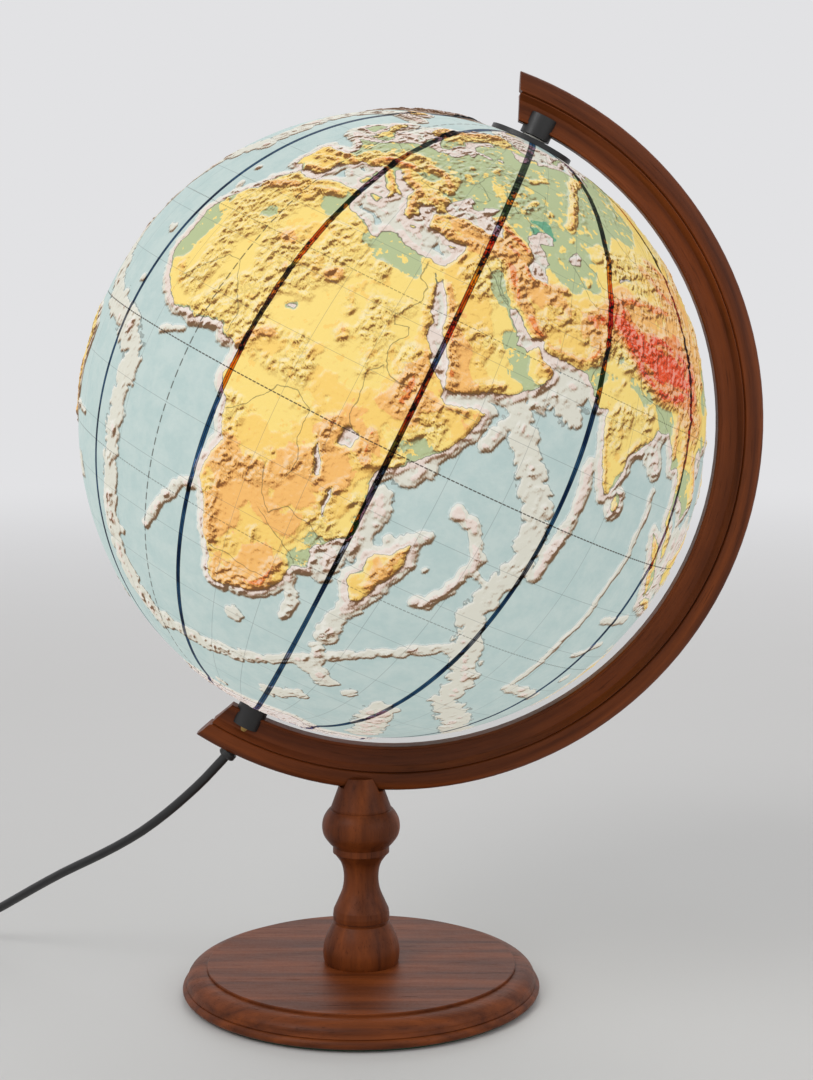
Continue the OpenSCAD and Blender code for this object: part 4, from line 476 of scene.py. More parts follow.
@dataclass
class EarthMap:
    """The map as fields of numbers on a grid of longitudes and latitudes."""

    step: float = 0.25
    coast_reach: float = 6.0
    spot_core: float = 2e-4
    spot_fall: float = 2.2
    shelf_degrees: float = 1.5
    lake_floor: float = 0.93

    def __post_init__(self) -> None:
        """Work out every field once."""
        self.columns = round(360 / self.step)
        self.rows = round(180 / self.step)
        self.lats = 90 - self.step * (np.arange(self.rows) + 0.5)
        land = np.zeros((self.rows, self.columns), bool)
        ice = np.zeros_like(land)
        for name, text in LAND.items():
            self.fill(land, pairs(text), True)
            if name in ("greenland", "antarctica"):
                self.fill(ice, pairs(text), True)
        lake = np.zeros_like(land)
        for text in LAKES.values():
            self.fill(lake, pairs(text), True)
            self.fill(land, pairs(text), False)
        sea_gap, land_gap = self.gap(land), self.gap(~land)
        self.coast = np.where(land, sea_gap, -land_gap).astype(np.float32)
        self.ice = ice.astype(np.float32)
        self.height = self.spot_heights()
        self.chain = self.lines(CHAINS, 2.6, lambda d, top: top * np.exp(-(d**2)))
        shelf = 1 - 0.5 * (np.maximum(-self.coast, 0) / self.shelf_degrees) ** 2
        rise = self.lines(RISES, 1.5, lambda d, top: top - 0.5 * d**2 * (top / 0.78))
        self.sea = np.maximum(np.maximum(shelf, rise), 0.0)
        self.sea[lake] = self.lake_floor

    def fill(self, mask: Array, ring: Array, value: bool) -> None:
        """Set the cells inside a closed outline.

        Args:
            mask: The cells.
            ring: Points of the outline.
            value: What the cells inside it become.
        """
        x0, y0 = ring.T
        x1, y1 = np.roll(ring, -1, axis=0).T
        inside = np.nonzero((self.lats < y0.max()) & (self.lats > y0.min()))[0]
        for row in inside:
            y = self.lats[row]
            hit = (y0 > y) != (y1 > y)
            cuts = np.sort(x0[hit] + (y - y0[hit]) * (x1[hit] - x0[hit]) / (y1[hit] - y0[hit]))
            for start, end in zip(cuts[::2], cuts[1::2]):
                first, last = (math.ceil((x + 180) / self.step - 0.5) for x in (start, end))
                mask[row, np.arange(first, last) % self.columns] = value

    def gap(self, inside: Array) -> Array:
        """Measure how far each cell is from the nearest one outside.

        Args:
            inside: Which cells are inside.

        Returns:
            The distance in degrees, up to the coast's reach, and 0 outside.
        """
        wide = np.tile(inside, (1, 3))
        place = np.arange(wide.shape[1])[None, :]
        before = np.maximum.accumulate(np.where(wide, -(10**6), place), axis=1)
        after = np.minimum.accumulate(np.where(wide, 10**6, place)[:, ::-1], axis=1)[:, ::-1]
        across = np.minimum(place - before, after - place)[:, self.columns:2 * self.columns]
        across = across * self.step * np.cos(np.radians(self.lats))[:, None]
        best = np.full(across.shape, self.coast_reach)
        reach = round(self.coast_reach / self.step)
        for shift in range(-reach, reach + 1):
            low, high = max(0, -shift), min(self.rows, self.rows - shift)
            moved = np.hypot(across[low + shift:high + shift], shift * self.step)
            best[low:high] = np.minimum(best[low:high], moved)
        return np.maximum(best - self.step / 2, 0)

    def spot_heights(self) -> Array:
        """Blend the listed heights of places into one smooth field.

        Returns:
            Heights in kilometres, one for each degree.
        """
        spots = np.array([float(word) for word in SPOTS.replace(",", " ").split()]).reshape(-1, 3)
        marks = sphere(spots[:, 0], spots[:, 1]).astype(np.float32)
        lons, lats = np.meshgrid(np.arange(-180, 180, 1.0) + 0.5, 89.5 - np.arange(180))
        cells = sphere(lons.ravel(), lats.ravel()).astype(np.float32)
        away = np.maximum(1 - cells @ marks.T, 0) + self.spot_core
        weight = away**-self.spot_fall
        coarse = (weight @ spots[:, 2].astype(np.float32)) / weight.sum(1)
        return coarse.reshape(180, 360)

    def lines(self, text: str, span: float, shape: Callable[[Array, float], Array]) -> Array:
        """Raise a crest along each line.

        Args:
            text: Lines with a top and a half width before their points.
            span: How many half widths a crest reaches.
            shape: The height for a distance in half widths and a top.

        Returns:
            The highest crest at each cell.
        """
        field = np.zeros((self.rows, self.columns), np.float32)
        for line in text.split(";"):
            numbers = [float(word) for word in line.split()]
            top, width, crest = numbers[0], numbers[1], np.array(numbers[2:]).reshape(-1, 2)
            for lon, lat in dense(crest, width * 0.4):
                narrow = max(math.cos(math.radians(lat)), 0.05)
                high = math.ceil(span * width / self.step)
                wide = min(math.ceil(span * width / narrow / self.step), self.columns // 2 - 1)
                row, column = int((90 - lat) / self.step), int((lon + 180) / self.step)
                rows = np.arange(max(row - high, 0), min(row + high + 1, self.rows))
                columns = np.arange(column - wide, column + wide + 1)
                shrink = np.cos(np.radians(self.lats[rows]))[:, None]
                north = (self.lats[rows] - lat)[:, None]
                east = ((columns + 0.5) * self.step - 180 - lon)[None, :] * shrink
                value = shape(np.hypot(north, east) / width, top).astype(np.float32)
                patch = np.ix_(rows, columns % self.columns)
                field[patch] = np.maximum(field[patch], value)
        return field

    def read(self, field: Array, lon: Array, lat: Array) -> Array:
        """Read a field between its cells.

        Args:
            field: The field.
            lon: Longitudes.
            lat: Latitudes.

        Returns:
            The field's value at each place.
        """
        rows, columns = field.shape
        x = (lon + 180) / 360 * columns - 0.5
        y = np.clip((90 - lat) / 180 * rows - 0.5, 0, rows - 1.001)
        i, j = np.floor(x).astype(int), np.floor(y).astype(int)
        u, v = x - i, y - j
        left, right = i % columns, (i + 1) % columns
        upper = field[j, left] * (1 - u) + field[j, right] * u
        lower = field[j + 1, left] * (1 - u) + field[j + 1, right] * u
        return upper * (1 - v) + lower * v


def sphere(lon: Array, lat: Array) -> Array:
    """Unit vectors of longitudes and latitudes, with +Z to the north pole."""
    a, b = np.radians(lon), np.radians(lat)
    return np.stack([np.cos(b) * np.cos(a), np.cos(b) * np.sin(a), np.sin(b)], axis=-1)


def dense(line: Array, step: float) -> Array:
    """Add points to a line.

    Args:
        line: Its points.
        step: How far apart two neighbours may be.

    Returns:
        The points with the new ones between them.
    """
    out = [line[0]]
    for a, b in zip(line, line[1:]):
        count = max(1, math.ceil(float(np.hypot(*(b - a))) / step))
        out += [a + (b - a) * k / count for k in range(1, count + 1)]
    return np.array(out)


def blend_in(x: Array, low: float, high: float) -> Array:
    """A smooth rise from 0 at low to 1 at high."""
    return ease(np.clip((x - low) / (high - low), 0, 1))


class Net:
    """Adds nodes to a tree in short calls."""

    def __init__(self, tree: Tree) -> None:
        """Keep the tree."""
        self.tree = tree

    @classmethod
    def material(cls, name: str) -> tuple["Net", Material, Node]:
        """Start a material with an empty Principled shader.

        Args:
            name: The material's name.

        Returns:
            The net, the material and its Principled node.
        """
        material = bpy.data.materials.new(name)
        material.use_nodes = True
        net = cls(material.node_tree)
        net.tree.nodes.clear()
        shader = net.add("ShaderNodeBsdfPrincipled")
        net.add("ShaderNodeOutputMaterial", {0: shader.outputs[0]})
        return net, material, shader

    @classmethod
    def group(
        cls, kind: str, name: str, inputs: dict[str, tuple[str, Any]], outputs: dict[str, str]
    ) -> tuple["Net", Node, Node]:
        """Start a node group with named sockets.

        Args:
            kind: The type name of its tree.
            name: The group's name.
            inputs: Socket kind and default of each input.
            outputs: Socket kind of each output.

        Returns:
            The net, the group's input node and its output node.
        """
        tree = bpy.data.node_groups.new(name, kind)
        for label, (form, default) in inputs.items():
            socket = tree.interface.new_socket(label, in_out="INPUT", socket_type=f"NodeSocket{form}")
            if default is not None:
                socket.default_value = default
        for label, form in outputs.items():
            tree.interface.new_socket(label, in_out="OUTPUT", socket_type=f"NodeSocket{form}")
        net = cls(tree)
        return net, net.add("NodeGroupInput"), net.add("NodeGroupOutput")

    def add(self, kind: str, inputs: dict | None = None, **settings: Any) -> Node:
        """Add a node.

        Args:
            kind: The node's type name.
            inputs: Values or output sockets, by the input's name or number.
            settings: The node's own settings.

        Returns:
            The new node.
        """
        node = self.tree.nodes.new(kind)
        for key, value in settings.items():
            setattr(node, key, value)
        self.fill(node, inputs or {})
        return node

    def fill(self, node: Node, inputs: dict) -> None:
        """Give a node's inputs their values or links, by name or number."""
        for key, value in inputs.items():
            self.put(node.inputs[key], value)

    def put(self, socket: Socket, value: Any) -> None:
        """Give a socket a value or a link.

        Args:
            socket: The socket.
            value: A value, or the output socket to link.
        """
        if isinstance(value, Socket):
            self.tree.links.new(value, socket)
        else:
            socket.default_value = value

    def math(self, operation: str, *values: Any) -> Socket:
        """Add a Math node.

        Args:
            operation: What it does.
            values: Numbers or sockets.

        Returns:
            Its result.
        """
        return self.add("ShaderNodeMath", dict(enumerate(values)), operation=operation).outputs[0]

    def vector(self, operation: str, *values: Any) -> Socket:
        """Add a Vector Math node.

        Args:
            operation: What it does.
            values: Vectors or sockets.

        Returns:
            Its result.
        """
        node = self.add("ShaderNodeVectorMath", dict(enumerate(values)), operation=operation)
        return node.outputs["Value" if operation == "LENGTH" else 0]

    def step(self, value: Any, low: float, high: float) -> Socket:
        """0 below low, 1 above high and a straight rise between them."""
        inputs = {0: value, 1: low, 2: high, 3: 0.0, 4: 1.0}
        return self.add("ShaderNodeMapRange", inputs, clamp=True).outputs[0]

    def around(self, value: Any, off: float, on: float) -> Socket:
        """1 where a value is within on of 0, and 0 where it is off or more away."""
        return self.step(self.math("ABSOLUTE", value), off, on)

    def mix(self, share: Any, first: Any, second: Any, blend: str = "MIX") -> Socket:
        """Mix two colours."""
        inputs = {0: share, 6: first, 7: second}
        return self.add("ShaderNodeMix", inputs, data_type="RGBA", blend_type=blend).outputs[2]

    def lay(self, under: Any, mask: Any, strength: float, over: Any) -> Socket:
        """Lay a colour over another at this strength, where a mask is 1."""
        return self.mix(self.math("MULTIPLY", mask, strength), under, over)

    def gamma(self, colour: Any, power: float) -> Socket:
        """Raise a colour to a power."""
        return self.add("ShaderNodeGamma", {"Color": colour, "Gamma": power}).outputs[0]

    def noise(self, place: Any, scale: Any, detail: float = 4.0, rough: float = 0.55) -> Socket:
        """Noise from 0 to 1."""
        inputs = {"Vector": place, "Scale": scale, "Detail": detail, "Roughness": rough}
        return self.add("ShaderNodeTexNoise", inputs).outputs[0]

    def sway(self, place: Any, scale: Any, detail: float = 4.0, rough: float = 0.55) -> Socket:
        """Noise from -0.5 to 0.5."""
        return self.math("SUBTRACT", self.noise(place, scale, detail, rough), 0.5)

    def place(self) -> Socket:
        """Object coordinates."""
        return self.add("ShaderNodeTexCoord").outputs["Object"]

    def attribute(self, name: str) -> Socket:
        """A number stored on the mesh."""
        return self.add("ShaderNodeAttribute", attribute_name=name).outputs["Fac"]

    def seen(self) -> Socket:
        """Tell what the eye sees from light that falls on the object.

        Returns:
            1 for what is seen, also in gloss and through glass, and 0 for light.
        """
        rays = self.add("ShaderNodeLightPath").outputs
        direct = self.math("MAXIMUM", rays["Is Camera Ray"], rays["Is Transmission Ray"])
        return self.math("MAXIMUM", direct, rays["Is Glossy Ray"])

    def bump(self, height: Any, strength: float, distance: float) -> Socket:
        """A normal from a height."""
        inputs = {"Height": height, "Strength": strength, "Distance": distance}
        return self.add("ShaderNodeBump", inputs).outputs[0]

    def dress(self, shape: Socket, material: Socket, end: Node) -> None:
        """End a Geometry Nodes tree.

        Args:
            shape: The geometry.
            material: The material's socket.
            end: The group's output node.
        """
        real = self.add("GeometryNodeRealizeInstances", {0: shape}).outputs[0]
        dressed = self.add("GeometryNodeSetMaterial", {"Geometry": real, "Material": material})
        self.put(end.inputs[0], dressed.outputs[0])


class Effects:
    """Node groups that several materials share."""

    def __init__(self) -> None:
        """Build each group once."""
        self.wear = self.build_wear()
        self.grain = self.build_grain()

    def build_wear(self) -> Tree:
        """Handling marks: a mottled tone, a changing gloss and fine scuffs.

        Returns:
            The group.
        """
        net, start, end = Net.group(
            SHADER_TREE,
            "handling",
            {"Place": ("Vector", None), "Size": ("Float", 60.0), "Depth": ("Float", 0.1)},
            {"Tone": "Float", "Gloss": "Float", "Height": "Float"},
        )
        place, size, depth = (start.outputs[i] for i in range(3))
        cloud = net.noise(place, size, 5.0, 0.5)
        streaks = net.sway(net.vector("MULTIPLY", place, (1.0, 1.0, 0.12)), 700.0, 2.0)
        net.fill(end, {
            "Tone": net.math("MULTIPLY_ADD", net.math("SUBTRACT", cloud, 0.5), depth, 1.0),
            "Gloss": net.math("MULTIPLY_ADD", streaks, 0.35, net.math("MULTIPLY", cloud, 0.2)),
            "Height": net.noise(place, 1400.0, 3.0, 0.7),
        })
        return net.tree

    def build_grain(self) -> Tree:
        """Wood grain that runs along the second coordinate of its place.

        Returns:
            The group.
        """
        net, start, end = Net.group(
            SHADER_TREE,
            "wood grain",
            {
                "Place": ("Vector", None),
                "Light": ("Color", (1, 1, 1, 1)),
                "Dark": ("Color", (0, 0, 0, 1)),
                "Rings": ("Float", 90.0),
            },
            {"Colour": "Color", "Gloss": "Float", "Height": "Float"},
        )
        place, light, dark, rings = (start.outputs[i] for i in range(4))

        def drawn_out(share: float) -> Socket:
            """The place, drawn out along the grain."""
            return net.vector("MULTIPLY", place, (1.0, share, 1.0))

        drift = net.noise(drawn_out(0.10), 26.0, 3.0)
        across = net.add("ShaderNodeSeparateXYZ", {0: drawn_out(0.045)}).outputs
        slant = net.math("ADD", across[0], net.math("MULTIPLY", across[2], 0.6))
        wave = net.math("MULTIPLY_ADD", drift, 0.075, slant)
        band = net.math("PINGPONG", net.math("MULTIPLY", wave, rings), 1.0)
        figure = net.noise(drawn_out(0.05), 330.0, 4.0, 0.6)
        pores = net.step(net.noise(drawn_out(0.035), 1500.0, 2.0, 0.6), 0.60, 0.72)
        mixed = net.math("ADD", net.math("MULTIPLY", band, 0.45), net.math("MULTIPLY", figure, 0.75))
        colour = net.mix(net.step(mixed, 0.22, 0.95), light, dark)
        colour = net.lay(colour, pores, 0.55, net.mix(0.6, dark, (0.004, 0.002, 0.001, 1)))
        net.fill(end, {
            "Colour": colour,
            "Gloss": net.math("MULTIPLY_ADD", figure, 0.12, net.math("MULTIPLY", pores, 0.25)),
            "Height": net.math("SUBTRACT", net.math("MULTIPLY", figure, 0.25), pores),
        })
        return net.tree

    def handled(self, net: Net, colour: Any, depth: float) -> tuple[Socket, Any]:
        """Put the handling marks on a colour.

        Args:
            net: The material's net.
            colour: The colour, or the socket that gives it.
            depth: How strong the mottling is.

        Returns:
            The mottled colour, and the marks' sockets.
        """
        inputs = {"Place": net.place(), "Depth": depth}
        marks = net.add("ShaderNodeGroup", inputs, node_tree=self.wear).outputs
        tone = net.add("ShaderNodeHueSaturation", {"Value": marks["Tone"], "Color": colour})
        return tone.outputs[0], marks


@dataclass(frozen=True)
class Finish:
    """A plain finish: moulded, plated, turned or pressed."""

    name: str
    colour: tuple[int, int, int]
    roughness: float
    metallic: float = 0.0
    mottle: float = 0.25
    relief: float = 0.05
    coat: float = 0.0
    glow: float = 0.0
    sheen: float = 0.0
    clear: float = 0.0

    def make(self, effects: Effects) -> Material:
        """Build the material.

        Args:
            effects: The shared node groups.

        Returns:
            The material.
        """
        net, material, shader = Net.material(self.name)
        tone, marks = effects.handled(net, linear(*self.colour), self.mottle)
        net.fill(shader, {
            "Base Color": tone,
            "Roughness": net.math("ADD", self.roughness - 0.1, marks["Gloss"]),
            "Normal": net.bump(marks["Height"], self.relief, 0.0004),
            "Metallic": self.metallic,
            "Coat Weight": self.coat,
            "Sheen Weight": self.sheen,
            "Transmission Weight": self.clear,
        })
        if self.glow:
            net.fill(shader, {"Emission Color": linear(255, 224, 170), "Emission Strength": self.glow})
        return material


class Grain(Enum):
    """How the grain lies in a piece of wood."""

    UPRIGHT = "upright"
    ACROSS = "across"
    ROUND = "round"


@dataclass(frozen=True)
class Wood:
    """Stained and lacquered wood, with its grain laid as the piece was cut."""

    name: str
    grain: Grain
    light: tuple[int, int, int] = (126, 63, 26)
    dark: tuple[int, int, int] = (75, 34, 13)
    rings: float = 120.0
    mottle: float = 0.35
    roughness: float = 0.34

    def make(self, effects: Effects) -> Material:
        """Build the material.

        Args:
            effects: The shared node groups.

        Returns:
            The material.
        """
        net, material, shader = Net.material(self.name)
        x, y, z = net.add("ShaderNodeSeparateXYZ", {0: net.place()}).outputs
        if self.grain is Grain.UPRIGHT:
            order = (x, z, y)
        elif self.grain is Grain.ACROSS:
            order = (z, x, y)
        else:
            out, up = net.math("SUBTRACT", x, CENTRE[0]), net.math("SUBTRACT", z, CENTRE[2])
            squares = net.math("ADD", net.math("MULTIPLY", out, out), net.math("MULTIPLY", up, up))
            turn = net.math("MULTIPLY", net.math("ARCTAN2", up, out), BOW_MIDDLE_R)
            order = (net.math("SQRT", squares), turn, y)
        place = net.add("ShaderNodeCombineXYZ", dict(enumerate(order))).outputs[0]
        inputs = {
            "Place": place,
            "Light": linear(*self.light),
            "Dark": linear(*self.dark),
            "Rings": self.rings,
        }
        wood = net.add("ShaderNodeGroup", inputs, node_tree=effects.grain).outputs
        tone, marks = effects.handled(net, wood["Colour"], self.mottle)
        gloss = net.math("ADD", wood["Gloss"], net.math("MULTIPLY", marks["Gloss"], 0.5))
        net.fill(shader, {
            "Base Color": tone,
            "Roughness": net.math("ADD", gloss, self.roughness),
            "Normal": net.bump(wood["Height"], 0.12, 0.0003),
            "Specular IOR Level": 0.15,
            "Coat Weight": 0.03,
            "Coat Roughness": 0.3,
        })
        return material


@dataclass(frozen=True)
class MapPrint:
    """The printed sheet of the ball: tints, sea floor, lines, seams and the lamp's glow through them."""

    name: str = "map print"
    glow: float = 0.47
    glow_fall: float = -0.0016
    paper_share: float = 0.60
    strip_mm: float = 1.12
    grid_half: float = 5.0
    tropic: float = 23.45

    def make(self) -> Material:
        """Build the material.

        Returns:
            The material.
        """
        net, material, shader = Net.material(self.name)
        place = net.place()
        grain = net.sway(place, 330.0, 5.0, 0.62)
        wide = net.sway(place, 90.0, 3.0, 0.5)
        coast = net.math("MULTIPLY_ADD", grain, 0.35, net.attribute("coast"))
        rough = net.attribute("rough")
        water, soil = self.water(net, grain, wide), self.soil(net, place, grain)
        colour = net.mix(net.step(coast, -0.01, 0.01), water, soil)
        colour = net.lay(colour, net.around(coast, 0.09, 0.05), 0.62, Tint.INK.value)
        colour = self.hill_shading(net, place, colour, rough, net.step(coast, 0.01, -0.01))
        colour = self.drawn_lines(net, colour, grain)
        colour = self.lap_strips(net, colour, place)
        lumps = net.math("MULTIPLY", self.lumps(net, place), net.math("MULTIPLY_ADD", rough, 0.5, 0.06))
        glow = net.math("MULTIPLY_ADD", net.attribute("latitude"), self.glow_fall, self.glow)
        net.fill(shader, {
            "Base Color": net.mix(1.0, colour, (self.paper_share,) * 3 + (1.0,), "MULTIPLY"),
            "Emission Color": colour,
            "Emission Strength": glow,
            "Roughness": net.math("MULTIPLY_ADD", wide, 0.2, 0.5),
            "Normal": net.bump(lumps, 1.0, 0.0006),
            "Specular IOR Level": 0.06,
            "Coat Weight": 0.02,
            "Coat Roughness": 0.3,
        })
        return material

    def water(self, net: Net, grain: Socket, wide: Socket) -> Socket:
        """Tint the sea by the height of its floor.

        Args:
            net: The material's net.
            grain: Fine noise around 0.
            wide: Wide noise around 0.

        Returns:
            The colour of the sea.
        """
        sea = net.math("MULTIPLY_ADD", grain, 0.10, net.attribute("sea"))
        cloud = net.math("MULTIPLY_ADD", grain, 0.6, wide)
        water = net.mix(net.step(cloud, -0.16, 0.16), Tint.SEA.value, Tint.SEA_FAR.value)
        water = net.mix(net.step(sea, 0.49, 0.51), water, Tint.RISE.value)
        water = net.mix(net.step(sea, 0.84, 0.86), water, Tint.SHELF.value)
        return net.lay(water, net.math("COMPARE", sea, 0.465, 0.026), 0.4, Tint.INK.value)

    def soil(self, net: Net, place: Socket, grain: Socket) -> Socket:
        """Tint the land by its height, and whiten the ice.

        Args:
            net: The material's net.
            place: Object coordinates.
            grain: Fine noise around 0.

        Returns:
            The colour of the land.
        """
        level = net.math("MULTIPLY", net.attribute("height"), net.math("MULTIPLY_ADD", grain, 0.12, 1.0))
        hillock = net.step(net.noise(place, 210.0, 4.0, 0.55), 0.57, 0.66)
        level = net.math("MULTIPLY_ADD", hillock, 0.25, level)
        soil = net.mix(net.step(level, -0.004, 0.0), Tint.HOLLOW.value, Tint.LOW.value)
        for floor, tint in TINT_STEPS.items():
            soil = net.mix(net.step(level, floor * 0.98, floor * 1.02), soil, tint.value)
        return net.mix(net.step(net.attribute("ice"), 0.45, 0.55), soil, Tint.ICE.value)

    def lumps(self, net: Net, place: Socket) -> Socket:
        """Swollen lumps with creases between them, from 0 to 1."""
        return net.step(net.math("ABSOLUTE", net.sway(place, 300.0, 2.0, 0.5)), 0.0, 0.16)

    def hill_shading(self, net: Net, place: Socket, colour: Socket, rough: Socket, wet: Socket) -> Socket:
        """Paint the shadows, lights and creases of the hills over the tints, lit from the north-west: the
        map's printed hill shading together with painted shade and painted highlight on the embossed relief.

        Args:
            net: The material's net.
            place: Object coordinates.
            colour: The colour so far.
            rough: How rough the ground is.
            wet: 1 at sea.

        Returns:
            The colour with its shades.
        """
        away = net.vector("NORMALIZE", net.vector("SUBTRACT", place, CENTRE))
        east = net.vector("NORMALIZE", net.vector("CROSS_PRODUCT", POLE, away))
        north = net.vector("CROSS_PRODUCT", away, east)
        shift = net.vector("MULTIPLY", net.vector("SUBTRACT", east, north), (0.0004,) * 3)
        here, there = self.lumps(net, place), self.lumps(net, net.vector("ADD", place, shift))
        slope = net.math("SUBTRACT", there, here)
        amount = net.math("MULTIPLY", net.math("MULTIPLY_ADD", rough, 0.9, 0.03), slope)
        # Painted light and shade: how the embossed relief and the lumps face a light in the north-west, made
        # stronger at sea.
        shade = net.math("ADD", net.attribute("shade"), amount)
        shade = net.math("MULTIPLY", shade, net.math("MULTIPLY_ADD", wet, 0.65, 1.0))
        # Painted shadow on the sides turned away from the light, with darker strokes where it is deepest.
        shadow = net.mix(1.0, colour, linear(170, 126, 86), "MULTIPLY")
        colour = net.lay(colour, net.step(shade, -0.06, -0.6), 0.85, shadow)
        colour = net.lay(colour, net.step(shade, -0.42, -0.8), 0.7, linear(98, 70, 46))
        # Painted shade in the creases between the lumps where the ground is rough, in a brown like ink.
        crease_shade = net.math("MULTIPLY", net.step(here, 0.30, 0.05), net.step(rough, 0.1, 0.7))
        colour = net.lay(colour, crease_shade, 0.3, linear(120, 84, 50))
        # Painted highlight on the sides that face the light.
        bright = net.mix(0.29, net.gamma(colour, 0.72), (1.0, 0.98, 0.93, 1.0))
        return net.lay(colour, net.step(shade, 0.06, 0.55), 0.75, bright)

    def drawn_lines(self, net: Net, colour: Socket, grain: Socket) -> Socket:
        """Draw the graticule, the equator, the tropics, the first meridian and the rivers.

        Args:
            net: The material's net.
            colour: The colour so far.
            grain: Fine noise around 0.

        Returns:
            The colour with its lines.
        """
        lon, lat = net.attribute("longitude"), net.attribute("latitude")
        narrow = net.math("COSINE", net.math("RADIANS", lat))
        for value, scale in ((lon, narrow), (lat, 1.0)):
            off = net.math("MULTIPLY", net.math("WRAP", value, self.grid_half, -self.grid_half), scale)
            colour = net.lay(colour, net.around(off, 0.075, 0.045), 0.34, Tint.LINE.value)
        dash = net.math("GREATER_THAN", net.math("PINGPONG", lon, 0.4), 0.1)
        turning = net.math("SUBTRACT", net.math("ABSOLUTE", lat), self.tropic)
        for off, wide, fine, strength in ((lat, 0.13, 0.08, 0.85), (turning, 0.12, 0.07, 0.5)):
            belt = net.math("MULTIPLY", net.around(off, wide, fine), dash)
            colour = net.lay(colour, belt, strength, Tint.INK.value)
        dash = net.math("GREATER_THAN", net.math("PINGPONG", lat, 1.0), 0.35)
        first = net.math("MULTIPLY", net.around(net.math("MULTIPLY", lon, narrow), 0.17, 0.12), dash)
        colour = net.lay(colour, first, 0.7, Tint.INK.value)
        stream = net.around(net.math("MULTIPLY_ADD", grain, 0.3, net.attribute("river")), 0.11, 0.06)
        return net.lay(colour, stream, 0.55, linear(66, 66, 58))

    def lap_strips(self, net: Net, colour: Socket, place: Socket) -> Socket:
        """Darken the strips where two gores lap and little light comes through.

        Args:
            net: The material's net.
            colour: The colour so far.
            place: Object coordinates.

        Returns:
            The colour with the strips.
        """
        sway = net.math("MULTIPLY", net.sway(place, 9.0, 2.0), 0.9)
        north = net.math("MULTIPLY", net.step(net.attribute("latitude"), 5.0, 60.0), 0.45)
        seam = net.math("ADD", net.math("ABSOLUTE", net.attribute("seam")), sway)
        seam = net.math("SUBTRACT", seam, north)
        # Painted shade: the lamp's light through two lapped layers, dimmed and tinted blue, by different
        # amounts in patches.
        patch = net.step(net.noise(place, 52.0, 2.0), 0.41, 0.56)
        two_layer_light = net.mix(patch, (0.08, 0.2, 0.8, 1.0), (0.75, 0.88, 2.3, 1.0))
        doubled = net.mix(1.0, net.gamma(colour, 6.0), two_layer_light, "MULTIPLY")
        colour = net.mix(net.step(seam, self.strip_mm + 0.06, self.strip_mm - 0.06), colour, doubled)
        # A dark line along each edge of the strip.
        rim = net.around(net.math("SUBTRACT", seam, self.strip_mm), 0.24, 0.12)
        return net.lay(colour, rim, 0.85, linear(10, 11, 15))


def placed(name: str, data: Any) -> Piece:
    """Put a new object into the scene.

    Args:
        name: Its name.
        data: Its mesh, curve, lamp or camera.

    Returns:
        The object.
    """
    thing = bpy.data.objects.new(name, data)
    bpy.context.scene.collection.objects.link(thing)
    return thing


def mesh_piece(name: str, points: Any, faces: Any, material: Material, smooth: bool = False) -> Piece:
    """Make an object at the origin from points and faces.

    Args:
        name: The piece's name.
        points: Its points in the shared frame, in metres.
        faces: Lists of point numbers.
        material: Its material.
        smooth: Whether its faces are shaded smooth.

    Returns:
        The object.
    """
    mesh = bpy.data.meshes.new(name)
    mesh.from_pydata(points, [], faces)
    if smooth:
        mesh.shade_smooth()
        mesh.set_sharp_from_angle(angle=math.radians(40))
    mesh.materials.append(material)
    return placed(name, mesh)


def grow(piece: Piece, tree: Tree, values: dict[str, Any]) -> None:
    """Run a Geometry Nodes tree on a piece, and keep the plain mesh that comes out.

    Args:
        piece: The piece.
        tree: The tree.
        values: The tree's inputs by name. One that isn't named keeps its default.
    """
    modifier = piece.modifiers.new(tree.name, "NODES")
    modifier.node_group = tree
    for item in tree.interface.items_tree:
        if item.in_out == "INPUT" and item.name in values:
            modifier[item.identifier] = values[item.name]
    bpy.context.view_layer.update()
    graph = bpy.context.evaluated_depsgraph_get()
    data = bpy.data.meshes.new_from_object(piece.evaluated_get(graph), depsgraph=graph)
    piece.modifiers.clear()
    piece.data = data
    log.info("%s: %d faces", piece.name, len(data.polygons))


